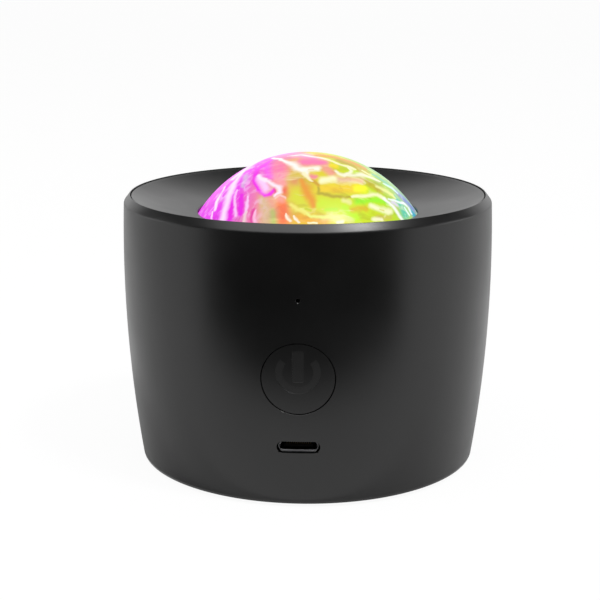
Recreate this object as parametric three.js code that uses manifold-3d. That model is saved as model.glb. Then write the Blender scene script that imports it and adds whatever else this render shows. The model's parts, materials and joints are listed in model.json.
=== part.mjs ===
// A small star projector: a barrel-shaped housing, a glowing dome in a dished top, and the works inside.
// Millimetres, +Z up, feet on z = 0, axis on x = y = 0, and the controls face -Y.
import * as THREE from 'three';
import { mergeVertices } from 'three/addons/utils/BufferGeometryUtils.js';
import Module from 'manifold-3d';

const wasm = await Module();
wasm.setup();

// Fits
const FIT_GAP = 0.3;
const CONTACT_GAP = 0.1;
const RUN_GAP = 0.15;
const OVERRUN = 1;
const MERGE_DISTANCE = 0.0001;

// Facets round a full turn
const SHELL_SIDES = 48;
const INNER_SIDES = 30;
const BOSS_SIDES = 12;
const SCREW_SIDES = 8;

// Housing barrel
const FOOT_PROUD = 0.8;
const BELLY_HEIGHT = 50;
const BASE_DRAW_IN = 3.75;
const WALL = 2.2;
const WALL_STEPS = 5;
const RIM_CHAMFER_WIDTH = 1.4;
const RIM_CHAMFER_HEIGHT = 1.8;
const RIM_LAND = 0.2;

// Dished top
const DISH_DEPTH = 4.8;
const DISH_WALL = 1.8;
const DISH_EDGE_DROP = 0.2;
const DISH_SAG = 0.35;
const DISH_LIP = 1.5;
const DISH_STEPS = 4;
const DISH_SKIRT_WALL = 1.2;
const DISH_SKIN = 0.6;
const LEDGE_WIDTH = 1.7;
const LEDGE_HEIGHT = 1;
const LEDGE_SLOPE = 1.8;
const DISH_WIDTH = 16.14;

// Outer dome
const DOME_SPHERE = 32.56;
const DOME_RISE = 9.6;
const DOME_WALL = 2;
const DOME_GAP = 0.8;
const DOME_STEPS = 7;
const FLANGE_THICKNESS = 1.5;
const FLANGE_WIDTH = 3.35;

// Turning inner dome and its gears
const ROTOR_GAP = 1.1;
const ROTOR_WALL = 1.2;
const ROTOR_STEPS = 8;
const ROTOR_SHOULDER = 1.3;
const ROTOR_FOOT_WALL = 1.5;
const ROTOR_FOOT_HEIGHT = 1.2;
const RIPPLE_DEPTH = 0.5;
const RIPPLE_LOBES = 7;
const RIPPLE_RINGS = 5;
const RING_TEETH = 72;
const PINION_TEETH = 12;
const GEAR_FACE = 2.5;
const GEAR_HEADROOM = 0.8;
const GEAR_FLOOR_GAP = 0.8;
const GEAR_SIDE_GAP = 1.85;
const GEAR_BACKLASH = 0.1;
const ROOT_DEPTH_SHARE = 1.25;
const ROOT_HALF_SHARE = 0.9;
const TIP_HALF_SHARE = 0.34;

// Engine frame
const PLATE_THICKNESS = 2;
const PLATE_MARGIN = 1.5;
const COLLAR_WALL = 2.2;
const HUB_WALL = 1.4;
const HUB_HEIGHT = 2.7;
const TUBE_INNER_RADIUS = 15.6;
const TUBE_WALL = 1.9;
const LENS_LEDGE_WIDTH = 1.6;
const LENS_LEDGE_THICKNESS = 1.2;
const LENS_LEDGE_DROP = 7.8;
const EAR_RADIUS = 3.2;
const SINK_EAR_HEIGHT = 6;
const SINK_EAR_OFFSET = 2;

// Condenser lens
const LENS_EDGE = 1.5;
const LENS_CROWN = 4;
const LENS_STEPS = 4;

// Light board and heat sink
const LED_BOARD_THICKNESS = 1.2;
const LED_CIRCLE = 5.5;
const LED_SIDE = 3.5;
const LED_BASE_HEIGHT = 1;
const LED_LENS_RADIUS = 1.4;
const SINK_MARGIN = 5;
const SINK_BASE = 3;
const FIN_DEPTH = 6.6;
const FIN_THICKNESS = 1.4;
const FIN_PITCH = 6.4;
const FIN_PAIRS = 3;
const HEAT_GAP = 5.3;

// Motor, gearbox and shaft
const MOTOR_AZIMUTH = Math.PI / 3;
const GEARBOX_DEPTH = 10;
const GEARBOX_WIDTH = 12;
const GEARBOX_HEIGHT = 9;
const GEARBOX_CORNER = 0.5;
const MOTOR_HEIGHT = 15;
const MOTOR_CORNER = 2;
const SHAFT_RADIUS = 1.5;
const SHAFT_BITE = 4;
const SHAFT_PROUD = 0.4;
const MOTOR_SCREW_SPREAD = 4.3;
const MOTOR_TAB_WIDTH = 16;
const MOTOR_TAB_MARGIN = 2;
const MOTOR_SEAT_DEPTH = 1;

// Case screws, small screws and their bosses
const SCREW_RADIUS = 1.1;
const SCREW_HEAD_RADIUS = 2.1;
const SCREW_HEAD_HEIGHT = 1.2;
const SCREW_LENGTH = 8;
const SMALL_SCREW_RADIUS = 0.7;
const SMALL_HEAD_RADIUS = 1.5;
const SMALL_HEAD_HEIGHT = 0.8;
const SMALL_SCREW_LENGTH = 4;
const CROSS_WIDTH = 0.5;
const CROSS_DEPTH = 0.5;
const CROSS_REACH_SHARE = 0.65;
const BOSS_RADIUS = 2.6;
const LUG_MARGIN = 1.8;
const LUG_THICKNESS = 2;
const LUG_WIDTH = 6.4;
const DISH_BOSS_DROP = 4.4;
const LUG_ANGLES = [Math.PI / 6, Math.PI * 5 / 6, Math.PI * 3 / 2];
const ENGINE_ANGLES = [Math.PI / 2, Math.PI * 7 / 6, Math.PI * 11 / 6];

// Bottom cover and feet
const COVER_RECESS = 0.4;
const COVER_THICKNESS = 2.4;
const BASE_LIP = 1.45;
const SEAT_RING_WIDTH = 1.6;
const SEAT_RING_HEIGHT = 1.5;
const BASE_BOSS_RADIUS = 3;
const BASE_BOSS_HEIGHT = 9;
const BASE_BOSS_REACH = 4.7;
const BASE_BOSS_ANGLE = Math.PI / 9;
const FOOT_RADIUS = 4;
const FOOT_POCKET = 0.9;
const FOOT_INSET = 6.7;
const FOOT_CORNER = 0.4;

// Battery
const BATTERY_LENGTH = 50;
const BATTERY_DEPTH = 34;
const BATTERY_HEIGHT = 10;
const BATTERY_BACK = 6;
const BATTERY_CORNER = 2;
const PAD_THICKNESS = 1;
const PAD_INSET = 2;
const FENCE_WALL = 1.2;
const FENCE_HEIGHT = 5;

// Power button and its switch
const BUTTON_RISE = 16.7;
const BUTTON_RADIUS = 8.4;
const BUTTON_FLANGE_RADIUS = 10;
const BUTTON_FLANGE = 1;
const BUTTON_STEM_RADIUS = 2.5;
const BUTTON_STEM_LENGTH = 1.2;
const SYMBOL_DEPTH = 0.2;
const SYMBOL_RADIUS = 5.1;
const SYMBOL_STROKE = 1.6;
const SYMBOL_BAR_WIDTH = 2.6;
const SYMBOL_BAR_TOP = 6.7;
const SYMBOL_BAR_BOTTOM = -0.7;
const SYMBOL_RING_LIFT = 1.65;
const SYMBOL_OPENING = 1.85;
const SWITCH_SIDE = 6;
const SWITCH_DEPTH = 3.5;
const SWITCH_CORNER = 0.5;
const PLUNGER_RADIUS = 1.75;
const PLUNGER_PROUD = 2.2;
const PLUNGER_BITE = 1.2;
const PRESS_TRAVEL = 0.5;

// Charging port
const PORT_HEIGHT = 14.6;
const PORT_SIDE_GAP = 0.53;
const PORT_SLOT_TALL = 2.8;
const PORT_WALL_LIP = 0.6;
const USB_WIDTH = 8.94;
const USB_TALL = 3.16;
const USB_METAL = 0.3;
const USB_BACK = 1;
const TONGUE_WIDTH = 6.69;
const TONGUE_THICKNESS = 0.7;
const TONGUE_SHORT = 0.8;

// Microphone
const MIC_RISE = 18.4;
const MIC_CLEARANCE = 2.5;
const MIC_HOLE_RADIUS = 0.5;
const MIC_RADIUS = 2;
const MIC_DEPTH = 1.8;
const BOOT_WALL = 0.4;
const BOOT_CHANNEL_RADIUS = 0.6;

// Control board and what it carries
const BOARD_WIDTH = 24;
const BOARD_THICKNESS = 1.2;
const BOARD_LOW_MARGIN = 6.4;
const BOARD_TOP_GAP = 0.5;
const BOARD_SCREW_SIDE = 9.5;
const BOARD_SCREW_RISE = 11.5;
const BOARD_BOSS_RADIUS = 2.2;
const CHIP_SIDE = 7;
const CHIP_THICKNESS = 0.9;
const CHIP_RISE = 9;
const INDUCTOR_SIDE = 5;
const INDUCTOR_HEIGHT = 3;
const INDUCTOR_DROP = 6;
const CAPACITOR_RADIUS = 2.5;
const CAPACITOR_LENGTH = 5.5;
const CAPACITOR_SIDE = 6;
const CAPACITOR_DROP = 4;

// Leads
const LEAD_RADIUS = 0.9;
const LEAD_CLEARANCE = 2.5;
const LEAD_SIDES = 8;
const LEAD_STEPS = 16;

// Heights from the feet up: the battery, the heat sink and the light board
const BASE_Z = FOOT_PROUD;
const BELLY_Z = BASE_Z + BELLY_HEIGHT;
const COVER_Z = BASE_Z + COVER_RECESS;
const COVER_TOP_Z = COVER_Z + COVER_THICKNESS;
const SEAT_RING_Z = COVER_TOP_Z + FIT_GAP;
const PAD_Z = COVER_TOP_Z + CONTACT_GAP;
const BATTERY_Z = PAD_Z + PAD_THICKNESS + CONTACT_GAP;
const FIN_LOW_Z = BATTERY_Z + BATTERY_HEIGHT + HEAT_GAP;
const SINK_BOTTOM_Z = FIN_LOW_Z + FIN_DEPTH;
const SINK_TOP_Z = SINK_BOTTOM_Z + SINK_BASE;
const LED_BOARD_BOTTOM_Z = SINK_TOP_Z + CONTACT_GAP;
const LED_BOARD_TOP_Z = LED_BOARD_BOTTOM_Z + LED_BOARD_THICKNESS;
const TUBE_BOTTOM_Z = LED_BOARD_TOP_Z + FIT_GAP;

// Heights up the front: the port, the button, the microphone, the lug over it, and the rim
const BOOT_RADIUS = MIC_RADIUS + FIT_GAP + BOOT_WALL;
const PORT_Z = BASE_Z + PORT_HEIGHT;
const BUTTON_Z = PORT_Z + BUTTON_RISE;
const MIC_Z = BUTTON_Z + MIC_RISE;
const LUG_BOTTOM_Z = MIC_Z + BOOT_RADIUS + MIC_CLEARANCE;
const LUG_TOP_Z = LUG_BOTTOM_Z + LUG_THICKNESS;
const DISH_BOSS_Z = LUG_TOP_Z + FIT_GAP;
const LEDGE_FOOT_Z = DISH_BOSS_Z + DISH_BOSS_DROP;
const LEDGE_Z = LEDGE_FOOT_Z + LEDGE_SLOPE + LEDGE_HEIGHT;
const DISH_EDGE_Z = LEDGE_Z + FIT_GAP + DISH_WALL;
const RIM_Z = DISH_EDGE_Z + DISH_EDGE_DROP;
const CHAMFER_Z = RIM_Z - RIM_CHAMFER_HEIGHT;

// Heights from the rim down: the dome, its flange, the gears and the frame's plate
const DISH_LOW_Z = RIM_Z - DISH_DEPTH;
const LAND_Z = DISH_LOW_Z - DISH_LIP;
const DOME_CENTRE_Z = RIM_Z + DOME_RISE - DOME_SPHERE;
const FLANGE_TOP_Z = LAND_Z - FIT_GAP;
const FLANGE_BOTTOM_Z = FLANGE_TOP_Z - FLANGE_THICKNESS;
const COLLAR_TOP_Z = FLANGE_BOTTOM_Z - FIT_GAP;
const GEAR_TOP_Z = FLANGE_BOTTOM_Z - GEAR_HEADROOM;
const GEAR_BOTTOM_Z = GEAR_TOP_Z - GEAR_FACE;
const PLATE_TOP_Z = GEAR_BOTTOM_Z - GEAR_FLOOR_GAP;
const PLATE_BOTTOM_Z = PLATE_TOP_Z - PLATE_THICKNESS;
const LENS_SEAT_Z = PLATE_BOTTOM_Z - LENS_LEDGE_DROP;
const GEARBOX_TOP_Z = PLATE_BOTTOM_Z - FIT_GAP;
const GEARBOX_BOTTOM_Z = GEARBOX_TOP_Z - GEARBOX_HEIGHT;

// Radii that follow from the sizes above, from the dome out to the barrel's belly
const DISH_HOLE_RADIUS = domeRadius(DOME_SPHERE, DISH_LOW_Z) + DOME_GAP;
const DISH_RADIUS = DISH_HOLE_RADIUS + DISH_WIDTH;
const DISH_STEP_RADIUS = DISH_RADIUS - LEDGE_WIDTH;
const LEDGE_RADIUS = DISH_STEP_RADIUS + FIT_GAP;
const REBATE_RADIUS = DISH_RADIUS + FIT_GAP;
const RIM_RADIUS = REBATE_RADIUS + RIM_LAND;
const BARREL_ARC = (BELLY_HEIGHT ** 2 + BASE_DRAW_IN ** 2) / (2 * BASE_DRAW_IN);
const BELLY_RADIUS = RIM_RADIUS + RIM_CHAMFER_WIDTH + drawIn(CHAMFER_Z);
const DISH_LAND_RADIUS = domeRadius(DOME_SPHERE, LAND_Z) + DOME_GAP;
const FLANGE_RADIUS = domeRadius(DOME_SPHERE, FLANGE_TOP_Z) + FLANGE_WIDTH;
const SKIRT_INNER_RADIUS = FLANGE_RADIUS + FIT_GAP;
const SKIRT_OUTER_RADIUS = SKIRT_INNER_RADIUS + DISH_SKIRT_WALL;
const COLLAR_RADIUS = FLANGE_RADIUS + FIT_GAP;
const COLLAR_INNER_RADIUS = COLLAR_RADIUS - COLLAR_WALL;
const GEAR_TIP_RADIUS = COLLAR_INNER_RADIUS - GEAR_SIDE_GAP;
const GEAR_MODULE = GEAR_TIP_RADIUS / (RING_TEETH / 2 + 1);
const RING_PITCH_RADIUS = GEAR_MODULE * RING_TEETH / 2;
const PINION_PITCH_RADIUS = GEAR_MODULE * PINION_TEETH / 2;
const CENTRE_DISTANCE = RING_PITCH_RADIUS + PINION_PITCH_RADIUS + GEAR_BACKLASH;
const ROTOR_SPHERE = DOME_SPHERE - DOME_WALL - ROTOR_GAP;
const ROTOR_SEAT_Z = GEAR_TOP_Z + FIT_GAP;
const ROTOR_FOOT_RADIUS = domeRadius(ROTOR_SPHERE, ROTOR_SEAT_Z) - ROTOR_SHOULDER;
const ROTOR_BORE_RADIUS = ROTOR_FOOT_RADIUS - ROTOR_FOOT_WALL;
const HUB_RADIUS = ROTOR_BORE_RADIUS - FIT_GAP;
const PLATE_RADIUS = COLLAR_RADIUS + PLATE_MARGIN;
const TUBE_RADIUS = TUBE_INNER_RADIUS + TUBE_WALL;
const ENGINE_CIRCLE = SKIRT_OUTER_RADIUS + EAR_RADIUS - DISH_SKIRT_WALL;
const LUG_REACH = BOSS_RADIUS + LUG_MARGIN;
const LUG_CIRCLE = innerRadius(LUG_TOP_Z) - LUG_REACH;
const SINK_EAR_CIRCLE = TUBE_RADIUS + SINK_EAR_OFFSET;
const SINK_RADIUS = TUBE_RADIUS + SINK_MARGIN;
const COVER_REBATE_RADIUS = wallRadius(BASE_Z) - BASE_LIP;
const COVER_RADIUS = COVER_REBATE_RADIUS - FIT_GAP;
const BASE_BOSS_CIRCLE = innerRadius(SEAT_RING_Z) - BASE_BOSS_REACH;
const FOOT_CIRCLE = COVER_RADIUS - FOOT_INSET;

// Distances in front of the axis, from the button's face back to the board
const FLANGE_FRONT = flangeRoom() - FIT_GAP;
const FLANGE_BACK = FLANGE_FRONT - BUTTON_FLANGE;
const STEM_BACK = FLANGE_BACK - BUTTON_STEM_LENGTH;
const PLUNGER_FRONT = STEM_BACK - FIT_GAP;
const SWITCH_FRONT = PLUNGER_FRONT - PLUNGER_PROUD;
const SWITCH_BACK = SWITCH_FRONT - SWITCH_DEPTH;
const BOARD_FRONT = SWITCH_BACK - CONTACT_GAP;
const BOARD_BACK = BOARD_FRONT - BOARD_THICKNESS;
const PORT_FACE = wallRadius(PORT_Z) - PORT_WALL_LIP;
const PORT_SLOT_WIDTH = USB_WIDTH + 2 * PORT_SIDE_GAP;
const USB_FRONT = PORT_FACE - FIT_GAP;
const BOARD_LOW_Z = PORT_Z - BOARD_LOW_MARGIN;
const BOARD_TOP_Z = PLATE_BOTTOM_Z - BOARD_TOP_GAP;

// How far the barrel draws in from its belly at a height.
function drawIn(z) {
  return BARREL_ARC - Math.sqrt(BARREL_ARC ** 2 - (z - BELLY_Z) ** 2);
}

// Outer radius of the barrel at a height.
function wallRadius(z) {
  return BELLY_RADIUS - drawIn(z);
}

// Inner radius of the barrel's wall at a height.
function innerRadius(z) {
  return wallRadius(z) - WALL;
}

// The nearest that the wall's inner face comes in front of the axis, round the button's flange.
function flangeRoom() {
  const rim = spread(0, Math.PI, BOSS_SIDES).map(turn => {
    const z = BUTTON_Z + BUTTON_FLANGE_RADIUS * Math.cos(turn);
    return Math.sqrt(innerRadius(z) ** 2 - (BUTTON_FLANGE_RADIUS * Math.sin(turn)) ** 2);
  });
  return Math.min(...rim);
}

// Radius at a height of a sphere about the dome's centre.
function domeRadius(sphere, z) {
  return Math.sqrt(sphere ** 2 - (z - DOME_CENTRE_Z) ** 2);
}

// Height of the dish's top surface at a radius: a straight slope with a slight sag.
function dishHeight(radius) {
  const share = (radius - DISH_HOLE_RADIUS) / (DISH_RADIUS - DISH_HOLE_RADIUS);
  const sag = 4 * DISH_SAG * share * (1 - share);
  return DISH_LOW_Z + share * (DISH_EDGE_Z - DISH_LOW_Z) - sag;
}

// Evenly spaced values from one end to the other, both included.
function spread(from, to, steps) {
  return Array.from({ length: steps + 1 }, (_, step) => from + (to - from) * step / steps);
}

// A closed geometry as a solid whose faces point out.
function solid(geometry) {
  const bare = geometry.clone();
  bare.deleteAttribute('normal');
  bare.deleteAttribute('uv');
  const merged = mergeVertices(bare, MERGE_DISTANCE);
  const points = merged.attributes.position;
  const [a, b, c] = [new THREE.Vector3(), new THREE.Vector3(), new THREE.Vector3()];
  const triangles = [];
  let volume = 0;
  for (let at = 0; at < merged.index.count; at += 3) {
    const corners = [0, 1, 2].map(step => merged.index.getX(at + step));
    if (new Set(corners).size < corners.length) continue;
    a.fromBufferAttribute(points, corners[0]);
    b.fromBufferAttribute(points, corners[1]);
    c.fromBufferAttribute(points, corners[2]);
    volume += a.dot(b.cross(c));
    triangles.push(corners);
  }
  const outward = volume < 0 ? triangles.map(corners => corners.reverse()) : triangles;
  return new wasm.Manifold(new wasm.Mesh({
    numProp: 3,
    vertProperties: new Float32Array(points.array),
    triVerts: new Uint32Array(outward.flat()),
  }));
}

// The first solid with the others joined to it.
function join(first, ...others) {
  return others.reduce((whole, other) => whole.add(other), first);
}

// The first solid with the others cut away from it.
function cut(first, ...others) {
  return others.reduce((whole, other) => whole.subtract(other), first);
}

// A solid turned about the Z axis from an outline of [radius, height] points.
function revolve(outline, sides = SHELL_SIDES) {
  const points = outline.map(([radius, z]) => new THREE.Vector2(radius, z));
  const open = points[0].x > 0 || points.at(-1).x > 0;
  if (open) points.push(points[0].clone());
  return solid(new THREE.LatheGeometry(points, sides).rotateX(Math.PI / 2));
}

// An upright cylinder.
function post(radius, low, high, x = 0, y = 0, sides = BOSS_SIDES) {
  const geometry = new THREE.CylinderGeometry(radius, radius, high - low, sides);
  return solid(geometry.rotateX(Math.PI / 2).translate(x, y, (low + high) / 2));
}

// A cylinder that points forward, between two distances in front of the axis.
function forwardPost(radius, back, front, x, z, sides = BOSS_SIDES) {
  const geometry = new THREE.CylinderGeometry(radius, radius, front - back, sides);
  return solid(geometry.translate(x, -(back + front) / 2, z));
}

// A box between two corners.
function block(low, high) {
  const size = high.map((value, axis) => value - low[axis]);
  const middle = high.map((value, axis) => (value + low[axis]) / 2);
  return solid(new THREE.BoxGeometry(...size).translate(...middle));
}

// A rectangle with round corners, centred on a point.
function roundedRectangle(width, height, corner, x = 0, y = 0) {
  const shape = new THREE.Shape();
  const [left, right, low, high] = [x - width / 2, x + width / 2, y - height / 2, y + height / 2];
  shape.moveTo(left + corner, low);
  shape.lineTo(right - corner, low);
  shape.absarc(right - corner, low + corner, corner, -Math.PI / 2, 0);
  shape.lineTo(right, high - corner);
  shape.absarc(right - corner, high - corner, corner, 0, Math.PI / 2);
  shape.lineTo(left + corner, high);
  shape.absarc(left + corner, high - corner, corner, Math.PI / 2, Math.PI);
  shape.lineTo(left, low + corner);
  shape.absarc(left + corner, low + corner, corner, Math.PI, Math.PI * 3 / 2);
  return shape;
}

// A shape drawn in plan, raised between two heights.
function raise(shape, low, high, curveSegments = 2) {
  const depth = high - low;
  const geometry = new THREE.ExtrudeGeometry(shape, { depth, bevelEnabled: false, curveSegments });
  return solid(geometry.translate(0, 0, low));
}

// A shape drawn on the front, seen from -Y, between two distances in front of the axis.
function raiseForward(shape, back, front, curveSegments = 4) {
  const depth = front - back;
  const geometry = new THREE.ExtrudeGeometry(shape, { depth, bevelEnabled: false, curveSegments });
  return solid(geometry.rotateX(Math.PI / 2).translate(0, -back, 0));
}

// The filled space inside the barrel's wall, drawn in from its outer face by an inset.
function barrelCore(inset) {
  const wall = spread(BASE_Z, CHAMFER_Z, WALL_STEPS).map(z => [wallRadius(z) - inset, z]);
  return revolve([[0, BASE_Z], ...wall, [0, CHAMFER_Z]]);
}

// A point on a circle about the axis.
function onCircle(radius, angle) {
  return [radius * Math.cos(angle), radius * Math.sin(angle)];
}

// The angles of the four base bosses, two on each side.
function baseAngles() {
  const half = BASE_BOSS_ANGLE;
  return [half, Math.PI - half, Math.PI + half, -half];
}

// The four places of the control board's screws.
function boardScrewPlaces() {
  return [-1, 1].flatMap(side => [-1, 1].map(level => [
    side * BOARD_SCREW_SIDE,
    BUTTON_Z + level * BOARD_SCREW_RISE,
  ]));
}

// Barrel wall, with the rim's rebate above and the cover's rebate below.
function shellWall() {
  const outer = spread(BASE_Z, CHAMFER_Z, WALL_STEPS).map(z => [wallRadius(z), z]);
  const seatTop = SEAT_RING_Z + SEAT_RING_HEIGHT;
  const inner = spread(LEDGE_FOOT_Z, seatTop, WALL_STEPS - 2).map(z => [innerRadius(z), z]);
  const seatRadius = COVER_REBATE_RADIUS - SEAT_RING_WIDTH;
  return revolve([
    ...outer,
    [RIM_RADIUS, RIM_Z],
    [REBATE_RADIUS, RIM_Z],
    [REBATE_RADIUS, LEDGE_Z],
    [LEDGE_RADIUS, LEDGE_Z],
    [LEDGE_RADIUS, LEDGE_Z - LEDGE_HEIGHT],
    ...inner,
    [seatRadius, seatTop],
    [seatRadius, SEAT_RING_Z],
    [COVER_REBATE_RADIUS, SEAT_RING_Z],
    [COVER_REBATE_RADIUS, BASE_Z],
  ]);
}

// A lug that reaches in from the wall and carries one dish screw.
function dishLug(angle) {
  const [x, y] = onCircle(LUG_CIRCLE, angle);
  const half = LUG_WIDTH / 2;
  const arm = new THREE.BoxGeometry(LUG_REACH + WALL, LUG_WIDTH, LUG_THICKNESS);
  arm.translate(LUG_CIRCLE + (LUG_REACH + WALL) / 2, 0, LUG_BOTTOM_Z + LUG_THICKNESS / 2).rotateZ(angle);
  return join(solid(arm), post(half, LUG_BOTTOM_Z, LUG_TOP_Z, x, y));
}

// A boss that takes one base screw, with a web to the wall.
function baseBoss(angle) {
  const [x, y] = onCircle(BASE_BOSS_CIRCLE, angle);
  const top = SEAT_RING_Z + BASE_BOSS_HEIGHT;
  const reach = innerRadius(top) - BASE_BOSS_CIRCLE + WALL;
  const web = new THREE.BoxGeometry(reach, BASE_BOSS_RADIUS, BASE_BOSS_HEIGHT);
  web.translate(BASE_BOSS_CIRCLE + reach / 2, 0, SEAT_RING_Z + BASE_BOSS_HEIGHT / 2).rotateZ(angle);
  return join(solid(web), post(BASE_BOSS_RADIUS, SEAT_RING_Z, top, x, y));
}

// The openings on the front: button bore, port slot with the pocket behind it, and pinhole.
function frontOpenings() {
  const past = BELLY_RADIUS + OVERRUN;
  const slot = roundedRectangle(PORT_SLOT_WIDTH, PORT_SLOT_TALL, PORT_SLOT_TALL / 2, 0, PORT_Z);
  const pocketTall = USB_TALL + 2 * FIT_GAP;
  const pocket = roundedRectangle(PORT_SLOT_WIDTH, pocketTall, pocketTall / 2, 0, PORT_Z);
  return [
    forwardPost(BUTTON_RADIUS + FIT_GAP, STEM_BACK, past, 0, BUTTON_Z, SHELL_SIDES),
    raiseForward(slot, STEM_BACK, past),
    raiseForward(pocket, STEM_BACK, PORT_FACE),
    forwardPost(MIC_HOLE_RADIUS, STEM_BACK, past, 0, MIC_Z, SCREW_SIDES),
  ];
}

function outerShell() {
  const inside = barrelCore(WALL / 2);
  const bosses = [
    ...LUG_ANGLES.map(dishLug),
    ...baseAngles().map(baseBoss),
    ...boardScrewPlaces().map(([x, z]) =>
      forwardPost(BOARD_BOSS_RADIUS, BOARD_FRONT + FIT_GAP, BELLY_RADIUS, x, z)),
  ].map(boss => boss.intersect(inside));
  const hole = SCREW_RADIUS + FIT_GAP;
  const lugHoles = LUG_ANGLES.map(angle =>
    post(hole, LUG_BOTTOM_Z - OVERRUN, LUG_TOP_Z + OVERRUN, ...onCircle(LUG_CIRCLE, angle), SCREW_SIDES));
  const baseHoles = baseAngles().map(angle => post(
    hole, SEAT_RING_Z - OVERRUN, SEAT_RING_Z + SCREW_LENGTH,
    ...onCircle(BASE_BOSS_CIRCLE, angle), SCREW_SIDES));
  const boardHoles = boardScrewPlaces().map(([x, z]) => forwardPost(
    SMALL_SCREW_RADIUS + FIT_GAP, BOARD_FRONT, BOARD_FRONT + SMALL_SCREW_LENGTH, x, z, SCREW_SIDES));
  return cut(
    join(shellWall(), ...bosses), ...lugHoles, ...baseHoles, ...boardHoles, ...frontOpenings());
}

// The ring's cross-section: dished top, flat seat at the edge, land over the dome's flange, skirt round it.
function dishRing() {
  const radii = spread(DISH_HOLE_RADIUS, DISH_RADIUS, DISH_STEPS);
  const top = radii.map(radius => [radius, dishHeight(radius)]);
  const under = spread(DISH_STEP_RADIUS, SKIRT_OUTER_RADIUS, DISH_STEPS)
    .map(radius => [radius, dishHeight(radius) - DISH_WALL]);
  return revolve([
    ...top,
    [DISH_RADIUS, DISH_EDGE_Z - DISH_WALL],
    [DISH_STEP_RADIUS, DISH_EDGE_Z - DISH_WALL],
    ...under,
    [SKIRT_OUTER_RADIUS, FLANGE_BOTTOM_Z],
    [SKIRT_INNER_RADIUS, FLANGE_BOTTOM_Z],
    [SKIRT_INNER_RADIUS, LAND_Z],
    [DISH_LAND_RADIUS, LAND_Z],
  ]);
}

// The space below the dish's top skin, which its bosses may fill.
function underDish() {
  const radii = spread(SKIRT_INNER_RADIUS, DISH_RADIUS, DISH_STEPS);
  const skin = radii.map(radius => [radius, dishHeight(radius) - DISH_SKIN]);
  return revolve([...skin, [DISH_RADIUS, TUBE_BOTTOM_Z], [SKIRT_INNER_RADIUS, TUBE_BOTTOM_Z]]);
}

function topDish() {
  const room = underDish();
  const engineLow = PLATE_TOP_Z + FIT_GAP;
  const engineBosses = ENGINE_ANGLES.map(angle =>
    post(BOSS_RADIUS, engineLow, RIM_Z, ...onCircle(ENGINE_CIRCLE, angle)));
  const lugBosses = LUG_ANGLES.map(angle =>
    post(BOSS_RADIUS, DISH_BOSS_Z, RIM_Z, ...onCircle(LUG_CIRCLE, angle)));
  const bosses = [...engineBosses, ...lugBosses].map(boss => boss.intersect(room));
  const hole = SCREW_RADIUS + FIT_GAP;
  const engineHoles = ENGINE_ANGLES.map(angle => post(
    hole, engineLow - OVERRUN, PLATE_BOTTOM_Z + SCREW_LENGTH + FIT_GAP,
    ...onCircle(ENGINE_CIRCLE, angle), SCREW_SIDES));
  const lugHoles = LUG_ANGLES.map(angle => post(
    hole, DISH_BOSS_Z - OVERRUN, LUG_BOTTOM_Z + SCREW_LENGTH + FIT_GAP,
    ...onCircle(LUG_CIRCLE, angle), SCREW_SIDES));
  return cut(join(dishRing(), ...bosses), ...engineHoles, ...lugHoles);
}

// An arc of a sphere about the dome's centre, from a height up to the axis.
function capArc(sphere, fromZ, steps) {
  const start = Math.asin((fromZ - DOME_CENTRE_Z) / sphere);
  return spread(start, Math.PI / 2, steps).map((angle, step) => [
    step === steps ? 0 : sphere * Math.cos(angle),
    DOME_CENTRE_Z + sphere * Math.sin(angle),
  ]);
}

function domeLens() {
  return revolve([
    ...capArc(DOME_SPHERE, FLANGE_TOP_Z, DOME_STEPS).reverse(),
    [FLANGE_RADIUS, FLANGE_TOP_Z],
    [FLANGE_RADIUS, FLANGE_BOTTOM_Z],
    ...capArc(DOME_SPHERE - DOME_WALL, FLANGE_BOTTOM_Z, DOME_STEPS),
  ]);
}

// Presses shallow waves into the rotor's outer surface, deepest half way down and none at the top.
function ripple(geometry) {
  const points = geometry.attributes.position;
  const place = new THREE.Vector3();
  const centre = new THREE.Vector3(0, 0, DOME_CENTRE_Z);
  for (let at = 0; at < points.count; at += 1) {
    place.fromBufferAttribute(points, at).sub(centre);
    const onOutside = place.length() > ROTOR_SPHERE - RIPPLE_DEPTH / 2;
    const high = place.z + DOME_CENTRE_Z > ROTOR_SEAT_Z + ROTOR_FOOT_HEIGHT;
    if (!onOutside || !high) continue;
    const tilt = Math.acos(Math.min(place.z / ROTOR_SPHERE, 1));
    const turn = Math.atan2(place.y, place.x);
    const wave = Math.sin(RIPPLE_LOBES * turn + RIPPLE_RINGS * tilt) * Math.sin(RIPPLE_RINGS * 2 * tilt);
    place.setLength(ROTOR_SPHERE - RIPPLE_DEPTH * wave * wave).add(centre);
    points.setXYZ(at, place.x, place.y, place.z);
  }
  return geometry;
}

function waveRotor() {
  const low = PLATE_TOP_Z + FIT_GAP;
  const shoulderTop = ROTOR_SEAT_Z + ROTOR_FOOT_HEIGHT;
  const outline = [
    ...capArc(ROTOR_SPHERE, ROTOR_SEAT_Z, ROTOR_STEPS).reverse(),
    [ROTOR_FOOT_RADIUS, ROTOR_SEAT_Z],
    [ROTOR_FOOT_RADIUS, low],
    [ROTOR_BORE_RADIUS, low],
    [ROTOR_BORE_RADIUS, shoulderTop],
    ...capArc(ROTOR_SPHERE - ROTOR_WALL, shoulderTop, ROTOR_STEPS - 2),
  ].map(([radius, z]) => new THREE.Vector2(radius, z));
  const geometry = new THREE.LatheGeometry(outline, INNER_SIDES).rotateX(Math.PI / 2);
  return solid(ripple(geometry));
}

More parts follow.
